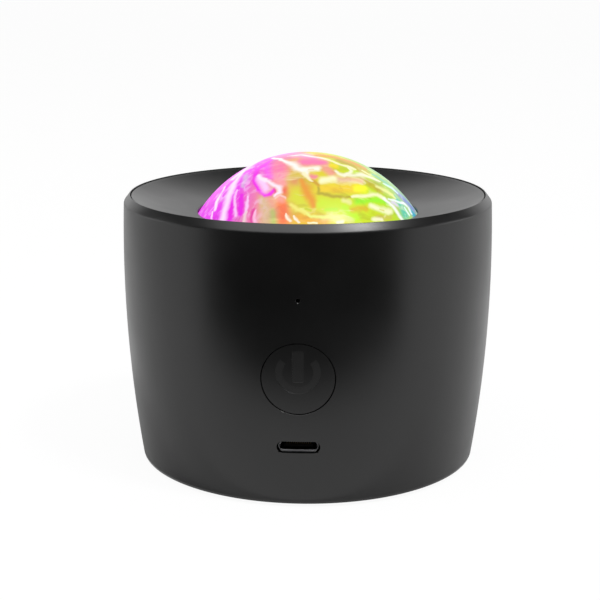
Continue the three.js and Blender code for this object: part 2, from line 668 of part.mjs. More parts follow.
// A spur gear's outline, with one tooth centred on the given angle.
function gearShape(teeth, firstTooth) {
  const pitch = GEAR_MODULE * teeth / 2;
  const tip = pitch + GEAR_MODULE;
  const root = pitch - GEAR_MODULE * ROOT_DEPTH_SHARE;
  const corners = [
    [root, -ROOT_HALF_SHARE],
    [tip, -TIP_HALF_SHARE],
    [tip, TIP_HALF_SHARE],
    [root, ROOT_HALF_SHARE],
  ];
  const points = Array.from({ length: teeth }, (_, tooth) => {
    const middle = firstTooth + Math.PI * 2 * tooth / teeth;
    return corners.map(([radius, share]) =>
      new THREE.Vector2(...onCircle(radius, middle + share * GEAR_MODULE / radius)));
  });
  return new THREE.Shape(points.flat());
}

function rotorGear() {
  const gear = gearShape(RING_TEETH, MOTOR_AZIMUTH + Math.PI / RING_TEETH);
  gear.holes.push(new THREE.Path().absarc(0, 0, ROTOR_FOOT_RADIUS + FIT_GAP, 0, Math.PI * 2));
  return raise(gear, GEAR_BOTTOM_Z, GEAR_TOP_Z, INNER_SIDES / 2);
}

// The pinion about its own axis, with one tooth towards the ring gear.
function motorPinion() {
  const gear = gearShape(PINION_TEETH, Math.PI);
  const bore = post(SHAFT_RADIUS + RUN_GAP, GEAR_BOTTOM_Z - OVERRUN, GEAR_TOP_Z + OVERRUN);
  return cut(raise(gear, GEAR_BOTTOM_Z, GEAR_TOP_Z), bore);
}

function motorShaft() {
  return post(SHAFT_RADIUS, GEARBOX_TOP_Z - SHAFT_BITE + FIT_GAP, GEAR_TOP_Z + SHAFT_PROUD);
}

function gearbox() {
  const body = roundedRectangle(GEARBOX_DEPTH, GEARBOX_WIDTH, GEARBOX_CORNER);
  const bore = post(SHAFT_RADIUS + RUN_GAP, GEARBOX_TOP_Z - SHAFT_BITE, GEARBOX_TOP_Z + OVERRUN);
  const screwHoles = [-1, 1].map(side => post(
    SMALL_SCREW_RADIUS + CONTACT_GAP, GEARBOX_TOP_Z - SMALL_SCREW_LENGTH, GEARBOX_TOP_Z + OVERRUN,
    0, side * MOTOR_SCREW_SPREAD, SCREW_SIDES));
  return cut(raise(body, GEARBOX_BOTTOM_Z, GEARBOX_TOP_Z), bore, ...screwHoles);
}

function motorCan() {
  const body = roundedRectangle(GEARBOX_DEPTH, GEARBOX_WIDTH, MOTOR_CORNER);
  const top = GEARBOX_BOTTOM_Z - CONTACT_GAP;
  return raise(body, top - MOTOR_HEIGHT, top);
}

// The frame's moulding: light tube, plate, hub for the rotor and collar under the dome's flange.
function frameMoulding() {
  const ledgeLow = LENS_SEAT_Z - LENS_LEDGE_THICKNESS;
  const ledgeRadius = TUBE_INNER_RADIUS - LENS_LEDGE_WIDTH;
  return revolve([
    [TUBE_INNER_RADIUS, TUBE_BOTTOM_Z],
    [TUBE_RADIUS, TUBE_BOTTOM_Z],
    [TUBE_RADIUS, PLATE_BOTTOM_Z],
    [PLATE_RADIUS, PLATE_BOTTOM_Z],
    [PLATE_RADIUS, PLATE_TOP_Z],
    [COLLAR_RADIUS, PLATE_TOP_Z],
    [COLLAR_RADIUS, COLLAR_TOP_Z],
    [COLLAR_INNER_RADIUS, COLLAR_TOP_Z],
    [COLLAR_INNER_RADIUS, PLATE_TOP_Z],
    [HUB_RADIUS, PLATE_TOP_Z],
    [HUB_RADIUS, PLATE_TOP_Z + HUB_HEIGHT],
    [HUB_RADIUS - HUB_WALL, PLATE_TOP_Z + HUB_HEIGHT],
    [HUB_RADIUS - HUB_WALL, PLATE_TOP_Z],
    [TUBE_INNER_RADIUS, PLATE_TOP_Z],
    [TUBE_INNER_RADIUS, LENS_SEAT_Z],
    [ledgeRadius, LENS_SEAT_Z],
    [ledgeRadius, ledgeLow],
    [TUBE_INNER_RADIUS, ledgeLow],
  ], INNER_SIDES);
}

// The plate's tab over the gearbox, drawn on the +X side.
function motorTab() {
  const outer = CENTRE_DISTANCE + GEARBOX_DEPTH / 2 + MOTOR_TAB_MARGIN;
  const half = MOTOR_TAB_WIDTH / 2;
  const inner = COLLAR_INNER_RADIUS;
  const box = new THREE.BoxGeometry(outer - inner, 2 * half, PLATE_THICKNESS);
  return solid(box.translate((outer + inner) / 2, 0, PLATE_BOTTOM_Z + PLATE_THICKNESS / 2)
    .rotateZ(MOTOR_AZIMUTH));
}

// The window in the collar that lets the pinion reach the ring gear.
function pinionWindow() {
  const half = PINION_PITCH_RADIUS + GEAR_MODULE + GEAR_HEADROOM;
  const inner = COLLAR_INNER_RADIUS - COLLAR_WALL;
  const outer = COLLAR_RADIUS + OVERRUN;
  const height = COLLAR_TOP_Z + OVERRUN - PLATE_TOP_Z;
  const box = new THREE.BoxGeometry(outer - inner, 2 * half, height);
  return solid(box.translate((outer + inner) / 2, 0, PLATE_TOP_Z + height / 2).rotateZ(MOTOR_AZIMUTH));
}

// An upright hole beside the motor's axis, placed in the motor's own turned axes.
function motorHole(radius, low, high, aside) {
  const geometry = new THREE.CylinderGeometry(radius, radius, high - low, SCREW_SIDES);
  geometry.rotateX(Math.PI / 2).translate(CENTRE_DISTANCE, aside, (low + high) / 2);
  return solid(geometry.rotateZ(MOTOR_AZIMUTH));
}

function engineFrame() {
  const ears = ENGINE_ANGLES.map(angle =>
    post(EAR_RADIUS, PLATE_BOTTOM_Z, PLATE_TOP_Z, ...onCircle(ENGINE_CIRCLE, angle)));
  const sinkEars = [-1, 1].map(side => post(
    EAR_RADIUS, TUBE_BOTTOM_Z, TUBE_BOTTOM_Z + SINK_EAR_HEIGHT, side * SINK_EAR_CIRCLE, 0));
  const bore = post(TUBE_INNER_RADIUS, TUBE_BOTTOM_Z - OVERRUN, TUBE_BOTTOM_Z + SINK_EAR_HEIGHT + OVERRUN,
    0, 0, INNER_SIDES);
  const low = PLATE_BOTTOM_Z - OVERRUN;
  const high = PLATE_TOP_Z + OVERRUN;
  const earHoles = ENGINE_ANGLES.map(angle =>
    post(SCREW_RADIUS + FIT_GAP, low, high, ...onCircle(ENGINE_CIRCLE, angle), SCREW_SIDES));
  const sinkHoles = [-1, 1].map(side => post(
    SMALL_SCREW_RADIUS + FIT_GAP, TUBE_BOTTOM_Z - OVERRUN, TUBE_BOTTOM_Z + SINK_EAR_HEIGHT - OVERRUN,
    side * SINK_EAR_CIRCLE, 0, SCREW_SIDES));
  const motorHoles = [
    motorHole(SHAFT_RADIUS + FIT_GAP, low, high, 0),
    ...[-1, 1].map(side => motorHole(SMALL_SCREW_RADIUS + FIT_GAP, low, high, side * MOTOR_SCREW_SPREAD)),
    ...[-1, 1].map(side => motorHole(
      SMALL_HEAD_RADIUS + FIT_GAP, PLATE_TOP_Z - MOTOR_SEAT_DEPTH, high, side * MOTOR_SCREW_SPREAD)),
  ];
  const whole = join(frameMoulding(), motorTab(), ...ears, ...sinkEars.map(ear => cut(ear, bore)));
  return cut(whole, pinionWindow(), ...earHoles, ...sinkHoles, ...motorHoles);
}

// Flat below and crowned above, resting on the tube's ledge.
function condenserLens() {
  const radius = TUBE_INNER_RADIUS - FIT_GAP;
  const low = LENS_SEAT_Z + CONTACT_GAP;
  const edge = low + LENS_EDGE;
  const crownArc = (radius ** 2 + LENS_CROWN ** 2) / (2 * LENS_CROWN);
  const half = Math.asin(radius / crownArc);
  const crown = spread(half, 0, LENS_STEPS).map((angle, step) => [
    step === LENS_STEPS ? 0 : crownArc * Math.sin(angle),
    edge + LENS_CROWN - crownArc + crownArc * Math.cos(angle),
  ]);
  return revolve([[0, low], [radius, low], ...crown], INNER_SIDES);
}

// The holes that let the two sink screws through a plate below the light tube.
function sinkScrewHoles(low, high) {
  return [-1, 1].map(side => post(
    SMALL_SCREW_RADIUS + FIT_GAP, low - OVERRUN, high + OVERRUN, side * SINK_EAR_CIRCLE, 0, SCREW_SIDES));
}

function ledBoard() {
  const disc = post(SINK_RADIUS, LED_BOARD_BOTTOM_Z, LED_BOARD_TOP_Z, 0, 0, INNER_SIDES);
  return cut(disc, ...sinkScrewHoles(LED_BOARD_BOTTOM_Z, LED_BOARD_TOP_Z));
}

// One light emitter about its own axis: a square package with a round lens.
function lightEmitter() {
  const half = LED_SIDE / 2;
  const lens = spread(0, Math.PI / 2, LENS_STEPS).map((angle, step) => [
    step === LENS_STEPS ? 0 : LED_LENS_RADIUS * Math.cos(angle),
    LED_BASE_HEIGHT + LED_LENS_RADIUS * Math.sin(angle),
  ]);
  const base = block([-half, -half, 0], [half, half, LED_BASE_HEIGHT]);
  return join(base, revolve([[0, LED_BASE_HEIGHT / 2], ...lens], SCREW_SIDES));
}

function heatSink() {
  const disc = post(SINK_RADIUS, SINK_BOTTOM_Z, SINK_TOP_Z, 0, 0, INNER_SIDES);
  const trim = post(SINK_RADIUS, FIN_LOW_Z, SINK_TOP_Z, 0, 0, INNER_SIDES);
  const fins = Array.from({ length: 2 * FIN_PAIRS }, (_, fin) => {
    const y = (fin - FIN_PAIRS + 1 / 2) * FIN_PITCH;
    return block(
      [-SINK_RADIUS, y - FIN_THICKNESS / 2, FIN_LOW_Z],
      [SINK_RADIUS, y + FIN_THICKNESS / 2, SINK_TOP_Z - SINK_BASE / 2]).intersect(trim);
  });
  return cut(join(disc, ...fins), ...sinkScrewHoles(SINK_BOTTOM_Z, SINK_TOP_Z));
}

// A screw along +Z, with its head's seat at zero.
function screw(radius, length, headRadius, headHeight) {
  return revolve([
    [0, -headHeight],
    [headRadius, -headHeight],
    [headRadius, 0],
    [radius, 0],
    [radius, length],
    [0, length],
  ], SCREW_SIDES);
}

// A case screw, with a cross recess in its head.
function caseScrew() {
  const half = CROSS_WIDTH / 2;
  const reach = SCREW_HEAD_RADIUS * CROSS_REACH_SHARE;
  const floor = CROSS_DEPTH - SCREW_HEAD_HEIGHT;
  const below = -SCREW_HEAD_HEIGHT - OVERRUN;
  return cut(
    screw(SCREW_RADIUS, SCREW_LENGTH, SCREW_HEAD_RADIUS, SCREW_HEAD_HEIGHT),
    block([-reach, -half, below], [reach, half, floor]),
    block([-half, -reach, below], [half, reach, floor]));
}

function smallScrew() {
  return screw(SMALL_SCREW_RADIUS, SMALL_SCREW_LENGTH, SMALL_HEAD_RADIUS, SMALL_HEAD_HEIGHT);
}

// The sink screw passes the heat sink and the light board into the frame's ear.
function sinkScrew() {
  const grip = SINK_BASE + LED_BOARD_THICKNESS + SMALL_SCREW_LENGTH;
  return screw(SMALL_SCREW_RADIUS, grip, SMALL_HEAD_RADIUS, SMALL_HEAD_HEIGHT);
}

// The bottom cover, with pockets for the feet, seats for the screws and a fence round the battery.
function bottomCover() {
  const plate = post(COVER_RADIUS, COVER_Z, COVER_TOP_Z, 0, 0, SHELL_SIDES);
  const inner = roundedRectangle(
    BATTERY_LENGTH + 2 * FIT_GAP, BATTERY_DEPTH + 2 * FIT_GAP, BATTERY_CORNER, 0, BATTERY_BACK);
  const margin = 2 * (FIT_GAP + FENCE_WALL);
  const outer = roundedRectangle(
    BATTERY_LENGTH + margin, BATTERY_DEPTH + margin, BATTERY_CORNER, 0, BATTERY_BACK);
  const top = COVER_TOP_Z + FENCE_HEIGHT;
  const fence = cut(
    raise(outer, COVER_TOP_Z - COVER_THICKNESS / 2, top), raise(inner, COVER_TOP_Z, top + OVERRUN));
  const feet = footPlaces().map(([x, y]) =>
    post(FOOT_RADIUS + FIT_GAP, COVER_Z - OVERRUN, COVER_Z + FOOT_POCKET, x, y));
  const places = baseAngles().map(angle => onCircle(BASE_BOSS_CIRCLE, angle));
  const seatZ = COVER_Z + SCREW_HEAD_HEIGHT + CONTACT_GAP;
  const seats = places.map(([x, y]) => post(SCREW_HEAD_RADIUS + FIT_GAP, COVER_Z - OVERRUN, seatZ, x, y));
  const holes = places.map(([x, y]) => post(
    SCREW_RADIUS + FIT_GAP, COVER_Z - OVERRUN, COVER_TOP_Z + OVERRUN, x, y, SCREW_SIDES));
  return cut(join(plate, fence), ...feet, ...seats, ...holes);
}

// The four feet stand on the diagonals.
function footPlaces() {
  return [1, 3, 5, 7].map(eighth => onCircle(FOOT_CIRCLE, eighth * Math.PI / 4));
}

// One foot about its own axis, with its lower edge chamfered.
function foot() {
  const top = COVER_Z + FOOT_POCKET - CONTACT_GAP;
  return revolve([
    [0, 0],
    [FOOT_RADIUS - FOOT_CORNER, 0],
    [FOOT_RADIUS, FOOT_CORNER],
    [FOOT_RADIUS, top],
    [0, top],
  ], BOSS_SIDES);
}

function batteryCell() {
  const body = roundedRectangle(BATTERY_LENGTH, BATTERY_DEPTH, BATTERY_CORNER, 0, BATTERY_BACK);
  return raise(body, BATTERY_Z, BATTERY_Z + BATTERY_HEIGHT);
}

function batteryPad() {
  const body = roundedRectangle(
    BATTERY_LENGTH - PAD_INSET, BATTERY_DEPTH - PAD_INSET, BATTERY_CORNER, 0, BATTERY_BACK);
  return raise(body, PAD_Z, PAD_Z + PAD_THICKNESS);
}

// The power symbol, drawn on the front: a bar that stands in the opening of a ring.
function symbolCutter() {
  const middle = SYMBOL_RADIUS - SYMBOL_STROKE / 2;
  const inner = middle - SYMBOL_STROKE / 2;
  const low = Math.PI / 2 + SYMBOL_OPENING / 2;
  const high = Math.PI * 5 / 2 - SYMBOL_OPENING / 2;
  const ringZ = BUTTON_Z + SYMBOL_RING_LIFT;
  const arc = new THREE.Shape();
  arc.absarc(0, ringZ, SYMBOL_RADIUS, low, high);
  arc.absarc(0, ringZ, inner, high, low, true);
  const bar = roundedRectangle(
    SYMBOL_BAR_WIDTH, SYMBOL_BAR_TOP - SYMBOL_BAR_BOTTOM, SYMBOL_STROKE / 4,
    0, BUTTON_Z + (SYMBOL_BAR_TOP + SYMBOL_BAR_BOTTOM) / 2);
  const past = BELLY_RADIUS + OVERRUN;
  const prisms = [
    raiseForward(arc, FLANGE_FRONT, past, SCREW_SIDES),
    raiseForward(bar, FLANGE_FRONT, past, 1),
  ];
  return cut(join(...prisms), barrelCore(SYMBOL_DEPTH));
}

// The cap's face follows the barrel, and its flange keeps it behind the wall.
function powerButton() {
  const cap = forwardPost(BUTTON_RADIUS, FLANGE_BACK, BELLY_RADIUS, 0, BUTTON_Z, SHELL_SIDES)
    .intersect(barrelCore(0));
  const flange = forwardPost(BUTTON_FLANGE_RADIUS, FLANGE_BACK, FLANGE_FRONT, 0, BUTTON_Z, INNER_SIDES);
  const stem = forwardPost(BUTTON_STEM_RADIUS, STEM_BACK, FLANGE_FRONT, 0, BUTTON_Z);
  return cut(join(cap, flange, stem), symbolCutter());
}

function switchBody() {
  const body = roundedRectangle(SWITCH_SIDE, SWITCH_SIDE, SWITCH_CORNER, 0, BUTTON_Z);
  const room = SWITCH_FRONT - PLUNGER_BITE - PRESS_TRAVEL - FIT_GAP;
  const bore = forwardPost(PLUNGER_RADIUS + RUN_GAP, room, SWITCH_FRONT + OVERRUN, 0, BUTTON_Z);
  return cut(raiseForward(body, SWITCH_BACK, SWITCH_FRONT), bore);
}

function switchPlunger() {
  return forwardPost(PLUNGER_RADIUS, SWITCH_FRONT - PLUNGER_BITE, PLUNGER_FRONT, 0, BUTTON_Z);
}

// The receptacle's metal shell: a flat tube with round sides, closed at the board.
function usbShell() {
  const outer = roundedRectangle(USB_WIDTH, USB_TALL, USB_TALL / 2, 0, PORT_Z);
  const innerTall = USB_TALL - 2 * USB_METAL;
  const inner = roundedRectangle(USB_WIDTH - 2 * USB_METAL, innerTall, innerTall / 2, 0, PORT_Z);
  const back = BOARD_FRONT + CONTACT_GAP;
  return cut(raiseForward(outer, back, USB_FRONT), raiseForward(inner, back + USB_BACK, USB_FRONT + OVERRUN));
}

// The contact tongue inside the receptacle.
function usbTongue() {
  const shape = roundedRectangle(TONGUE_WIDTH, TONGUE_THICKNESS, TONGUE_THICKNESS / 4, 0, PORT_Z);
  return raiseForward(shape, BOARD_FRONT + CONTACT_GAP + USB_BACK + CONTACT_GAP, USB_FRONT - TONGUE_SHORT, 2);
}

function microphone() {
  const back = BOARD_FRONT + CONTACT_GAP;
  return forwardPost(MIC_RADIUS, back, back + MIC_DEPTH, 0, MIC_Z);
}

// The rubber boot takes the microphone and leads the sound from the pinhole to it.
function micBoot() {
  const back = BOARD_FRONT + FIT_GAP;
  const seat = BOARD_FRONT + CONTACT_GAP + MIC_DEPTH + FIT_GAP;
  const front = innerRadius(MIC_Z) - FIT_GAP - CONTACT_GAP;
  return cut(
    forwardPost(BOOT_RADIUS, back, front, 0, MIC_Z),
    forwardPost(MIC_RADIUS + FIT_GAP, back - OVERRUN, seat, 0, MIC_Z),
    forwardPost(BOOT_CHANNEL_RADIUS, back, front + OVERRUN, 0, MIC_Z, SCREW_SIDES));
}

function controlBoard() {
  const plate = block(
    [-BOARD_WIDTH / 2, -BOARD_FRONT, BOARD_LOW_Z], [BOARD_WIDTH / 2, -BOARD_BACK, BOARD_TOP_Z]);
  const holes = boardScrewPlaces().map(([x, z]) => forwardPost(
    SMALL_SCREW_RADIUS + FIT_GAP, BOARD_BACK - OVERRUN, BOARD_FRONT + OVERRUN, x, z, SCREW_SIDES));
  return cut(plate, ...holes);
}

// A square part on the back of the control board.
function boardPart(side, thickness, x, z) {
  const front = BOARD_BACK - CONTACT_GAP;
  const half = side / 2;
  return block([x - half, -front, z - half], [x + half, thickness - front, z + half]);
}

function controllerChip() {
  return boardPart(CHIP_SIDE, CHIP_THICKNESS, 0, BUTTON_Z + CHIP_RISE);
}

function inductor() {
  return boardPart(INDUCTOR_SIDE, INDUCTOR_HEIGHT, 0, BUTTON_Z - INDUCTOR_DROP);
}

function capacitor() {
  const front = BOARD_BACK - CONTACT_GAP;
  return forwardPost(
    CAPACITOR_RADIUS, front - CAPACITOR_LENGTH, front, -CAPACITOR_SIDE, BUTTON_Z - CAPACITOR_DROP);
}

// A lead along a smooth curve through its points.
function lead(points) {
  const path = new THREE.CatmullRomCurve3(points.map(point => new THREE.Vector3(...point)));
  const section = new THREE.Shape().absarc(0, 0, LEAD_RADIUS, 0, Math.PI * 2);
  return solid(new THREE.ExtrudeGeometry(section, {
    steps: LEAD_STEPS,
    curveSegments: LEAD_SIDES / 2,
    bevelEnabled: false,
    extrudePath: path,
  }));
}

// From the front of the battery up to the back of the control board.
function batteryLead() {
  const front = BATTERY_BACK - BATTERY_DEPTH / 2 - FIT_GAP;
  const end = -BOARD_BACK + FIT_GAP;
  return lead([
    [10, front, 11.5],
    [10, front - 4, 11.5],
    [8, -24, 12.5],
    [7, end + 4, 14],
    [7, end, 14],
  ]);
}

// From under the motor, round the heat sink on the right, to the back of the control board.
function motorLead() {
  const [x, y] = onCircle(CENTRE_DISTANCE, MOTOR_AZIMUTH);
  const top = GEARBOX_BOTTOM_Z - CONTACT_GAP - MOTOR_HEIGHT - FIT_GAP;
  const end = -BOARD_BACK + FIT_GAP;
  return lead([
    [x, y, top],
    [x + 1, y, top - 4],
    [23, 19, 22],
    [29.5, 5, 22],
    [28.5, -9, 23],
    [20.5, -22, 26],
    [11, end + 5, 29.5],
    [8.5, end + 2, 30],
    [8.5, end, 30],
  ]);
}

// From the front of the light board to the back of the control board.
function ledLead() {
  const start = -TUBE_RADIUS - LEAD_CLEARANCE;
  const end = -BOARD_BACK + FIT_GAP;
  return lead([
    [-5, start, LED_BOARD_TOP_Z + FIT_GAP],
    [-5, start, LED_BOARD_TOP_Z + 3],
    [-6, (start + end) / 2, LED_BOARD_TOP_Z + 6.5],
    [-7, end + 3, LED_BOARD_TOP_Z + 8],
    [-7, end, LED_BOARD_TOP_Z + 8],
  ]);
}

// A finish for the meshes that share it.
function finish(color, roughness, metalness = 0) {
  return new THREE.MeshStandardMaterial({ color, roughness, metalness });
}

const FINISHES = {
  shell: finish(0x1c1c1d, 0.55),
  button: finish(0x1b1b1c, 0.5),
  dome: finish(0xf2c4d8, 0.12),
  rotor: finish(0xe8eef4, 0.15),
  whitePlastic: finish(0xe6e6e2, 0.5),
  innerPlastic: finish(0x2a2b2d, 0.6),
  rubber: finish(0x161616, 0.9),
  steel: finish(0x8d9196, 0.35, 1),
  blackSteel: finish(0x2b2b2d, 0.4, 1),
  brass: finish(0xb9924a, 0.35, 1),
  aluminium: finish(0xb4b8bc, 0.4, 1),
  boardGreen: finish(0x1f5a36, 0.5),
  boardWhite: finish(0xe9ebe8, 0.45),
  chip: finish(0x151618, 0.45),
  cell: finish(0x9aa3ad, 0.4),
  foam: finish(0x3b3c3e, 0.95),
  lens: finish(0xdde8ef, 0.06),
  redLight: finish(0xd8402f, 0.3),
  greenLight: finish(0x3fbf5a, 0.3),
  blueLight: finish(0x3a62d8, 0.3),
  whiteLight: finish(0xf4efd8, 0.3),
  redLead: finish(0xa82a22, 0.55),
  whiteLead: finish(0xd9d9d2, 0.55),
  blackLead: finish(0x202022, 0.55),
};

// A named mesh of a solid, placed and turned.
function piece(name, body, material, position = [0, 0, 0], rotation = [0, 0, 0]) {
  const { numProp, vertProperties, triVerts } = body.getMesh();
  const geometry = new THREE.BufferGeometry();
  geometry.setAttribute('position', new THREE.BufferAttribute(vertProperties, numProp));
  geometry.setIndex(new THREE.BufferAttribute(triVerts, 1));
  const flat = geometry.toNonIndexed();
  flat.computeVertexNormals();
  const mesh = new THREE.Mesh(flat, material);
  mesh.name = name;
  mesh.position.set(...position);
  mesh.rotation.set(...rotation);
  return mesh;
}

// Numbered copies of one solid at a list of places.
function copies(name, body, material, places, rotation = [0, 0, 0]) {
  return places.map((place, index) => piece(`${name}_${index + 1}`, body, material, place, rotation));
}

function housing() {
  const group = new THREE.Group();
  group.add(
    piece('outer_shell', outerShell(), FINISHES.shell),
    piece('top_dish', topDish(), FINISHES.shell),
    piece('dome_lens', domeLens(), FINISHES.dome),
    piece('bottom_cover', bottomCover(), FINISHES.shell),
    ...copies('foot', foot(), FINISHES.rubber, footPlaces().map(([x, y]) => [x, y, 0])),
    ...copies('base_screw', caseScrew(), FINISHES.blackSteel, baseAngles().map(angle => [
      ...onCircle(BASE_BOSS_CIRCLE, angle), COVER_Z + SCREW_HEAD_HEIGHT])),
    ...copies('dish_screw', caseScrew(), FINISHES.steel, LUG_ANGLES.map(angle => [
      ...onCircle(LUG_CIRCLE, angle), LUG_BOTTOM_Z - CONTACT_GAP])));
  return group;
}

function controls() {
  const group = new THREE.Group();
  const boardScrews = boardScrewPlaces().map(([x, z]) => [x, -BOARD_BACK + CONTACT_GAP, z]);
  group.add(
    piece('power_button', powerButton(), FINISHES.button),
    piece('switch_plunger', switchPlunger(), FINISHES.innerPlastic),
    piece('switch_body', switchBody(), FINISHES.blackSteel),
    piece('usb_shell', usbShell(), FINISHES.steel),
    piece('usb_tongue', usbTongue(), FINISHES.chip),
    piece('microphone', microphone(), FINISHES.aluminium),
    piece('mic_boot', micBoot(), FINISHES.rubber),
    piece('control_board', controlBoard(), FINISHES.boardGreen),
    piece('controller_chip', controllerChip(), FINISHES.chip),
    piece('inductor', inductor(), FINISHES.chip),
    piece('capacitor', capacitor(), FINISHES.aluminium),
    ...copies('board_screw', smallScrew(), FINISHES.steel, boardScrews, [Math.PI / 2, 0, 0]));
  return group;
}

function lightEngine() {
  const group = new THREE.Group();
  const lights = ['red', 'green', 'blue', 'white'];
  group.add(
    piece('engine_frame', engineFrame(), FINISHES.whitePlastic),
    piece('wave_rotor', waveRotor(), FINISHES.rotor),
    piece('rotor_gear', rotorGear(), FINISHES.whitePlastic),
    piece('condenser_lens', condenserLens(), FINISHES.lens),
    piece('led_board', ledBoard(), FINISHES.boardWhite),
    piece('heat_sink', heatSink(), FINISHES.aluminium),
    ...lights.map((light, quarter) => piece(
      `led_${light}`, lightEmitter(), FINISHES[`${light}Light`],
      [...onCircle(LED_CIRCLE, Math.PI / 4 + quarter * Math.PI / 2), LED_BOARD_TOP_Z + CONTACT_GAP])),
    ...copies('engine_screw', caseScrew(), FINISHES.steel, ENGINE_ANGLES.map(angle => [
      ...onCircle(ENGINE_CIRCLE, angle), PLATE_BOTTOM_Z - CONTACT_GAP])),
    ...copies('sink_screw', sinkScrew(), FINISHES.steel, [-1, 1].map(side => [
      side * SINK_EAR_CIRCLE, 0, SINK_BOTTOM_Z - CONTACT_GAP])));
  return group;
}

// The motor stands beside the light tube, turned about the axis to its azimuth.
function drive() {
  const group = new THREE.Group();
  group.rotation.z = MOTOR_AZIMUTH;
  const onAxis = [CENTRE_DISTANCE, 0, 0];
  const seat = PLATE_TOP_Z - MOTOR_SEAT_DEPTH + CONTACT_GAP;
  group.add(
    piece('gearbox', gearbox(), FINISHES.brass, onAxis),
    piece('motor_can', motorCan(), FINISHES.steel, onAxis),
    piece('motor_shaft', motorShaft(), FINISHES.steel, onAxis),
    piece('motor_pinion', motorPinion(), FINISHES.whitePlastic, onAxis),
    ...copies('motor_screw', smallScrew(), FINISHES.steel, [-1, 1].map(side => [
      CENTRE_DISTANCE, side * MOTOR_SCREW_SPREAD, seat]), [Math.PI, 0, 0]));
  return group;
}

function power() {
  const group = new THREE.Group();
  group.add(
    piece('battery_cell', batteryCell(), FINISHES.cell),
    piece('battery_pad', batteryPad(), FINISHES.foam),
    piece('battery_lead', batteryLead(), FINISHES.redLead),
    piece('motor_lead', motorLead(), FINISHES.blackLead),
    piece('led_lead', ledLead(), FINISHES.whiteLead));
  return group;
}

const projector = new THREE.Group();
projector.name = 'star_projector';
projector.add(housing(), controls(), lightEngine(), drive(), power());

export default projector;
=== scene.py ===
"""The looks of a small star projector: a matt black barrel with a dished top and a glowing marbled dome."""

import json
import math

import bpy
from mathutils import Euler, Matrix, Vector

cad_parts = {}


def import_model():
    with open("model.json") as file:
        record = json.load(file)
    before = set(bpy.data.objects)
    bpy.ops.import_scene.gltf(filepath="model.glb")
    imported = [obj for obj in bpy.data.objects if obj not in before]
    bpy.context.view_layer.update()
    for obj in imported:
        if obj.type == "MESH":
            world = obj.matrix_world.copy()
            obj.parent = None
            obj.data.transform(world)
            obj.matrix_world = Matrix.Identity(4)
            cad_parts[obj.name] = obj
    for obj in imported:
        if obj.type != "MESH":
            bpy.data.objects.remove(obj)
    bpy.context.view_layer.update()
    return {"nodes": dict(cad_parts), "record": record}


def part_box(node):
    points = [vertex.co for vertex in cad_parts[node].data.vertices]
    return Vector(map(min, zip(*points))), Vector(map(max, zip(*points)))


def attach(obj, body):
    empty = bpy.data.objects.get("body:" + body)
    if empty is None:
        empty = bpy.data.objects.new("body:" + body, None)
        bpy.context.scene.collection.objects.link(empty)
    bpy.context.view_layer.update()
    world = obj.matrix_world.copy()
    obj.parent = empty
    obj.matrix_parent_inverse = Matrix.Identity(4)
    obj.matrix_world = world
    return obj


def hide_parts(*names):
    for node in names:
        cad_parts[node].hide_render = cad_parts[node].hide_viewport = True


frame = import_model()

# Facets and rounding
BARREL_SEGMENTS = 240
DOME_SEGMENTS = 192
SMALL_SEGMENTS = 48
ROUND_STEPS = 4
SLOT_STEPS = 8
WALL_STEPS = 44
OVERRUN = 0.001
SHARP_ANGLE = math.radians(32)

# How far a corner may lie off a surface and still count as on it
SLACK = 0.00001

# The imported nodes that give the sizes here
SHELL_LOW, SHELL_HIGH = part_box("outer_shell")
DOME_LOW, DOME_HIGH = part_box("dome_lens")
BUTTON_LOW, BUTTON_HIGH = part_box("power_button")
PORT_LOW, PORT_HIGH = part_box("usb_shell")
TONGUE_LOW, TONGUE_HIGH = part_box("usb_tongue")
MIC_LOW, MIC_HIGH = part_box("microphone")
COVER_LOW, COVER_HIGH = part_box("bottom_cover")

# Clearances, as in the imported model
FIT_GAP = 0.0003
CONTACT_GAP = 0.0001

# Barrel
BASE_Z = SHELL_LOW.z
RIM_Z = SHELL_HIGH.z
BELLY_RADIUS = SHELL_HIGH.x
BELLY_HEIGHT = 0.05
BELLY_Z = BASE_Z + BELLY_HEIGHT
BASE_DRAW_IN = 0.00375
BARREL_ARC = ((BELLY_Z - BASE_Z) ** 2 + BASE_DRAW_IN ** 2) / (2 * BASE_DRAW_IN)
COVER_RECESS = 0.0004
COVER_THICKNESS = 0.0024
WALL = 0.0022
RIM_CHAMFER_WIDTH = 0.0014
RIM_CHAMFER_HEIGHT = 0.0018
RIM_LAND = 0.0002
EDGE_ROUNDING = 0.00035
FINE_ROUNDING = 0.00008
BASE_LIP = 0.00145
SEAT_RING_WIDTH = 0.0016
SEAT_RING_HEIGHT = 0.0015

# Dish
DISH_WALL = 0.0018
DISH_EDGE_DROP = 0.0002
DISH_DEPTH = 0.0048
DISH_SAG = 0.00035
DISH_LIP = 0.0015
DISH_STEPS = 16
DISH_SKIRT_WALL = 0.0012
LEDGE_WIDTH = 0.0017
LEDGE_HEIGHT = 0.001
LEDGE_SLOPE = 0.0018
LIP_ROUNDING = 0.0005

# Dome
DOME_SPHERE = 0.03256
DOME_WALL = 0.002
DOME_GAP = 0.0004
DOME_STEPS = 40
FLANGE_THICKNESS = 0.0015

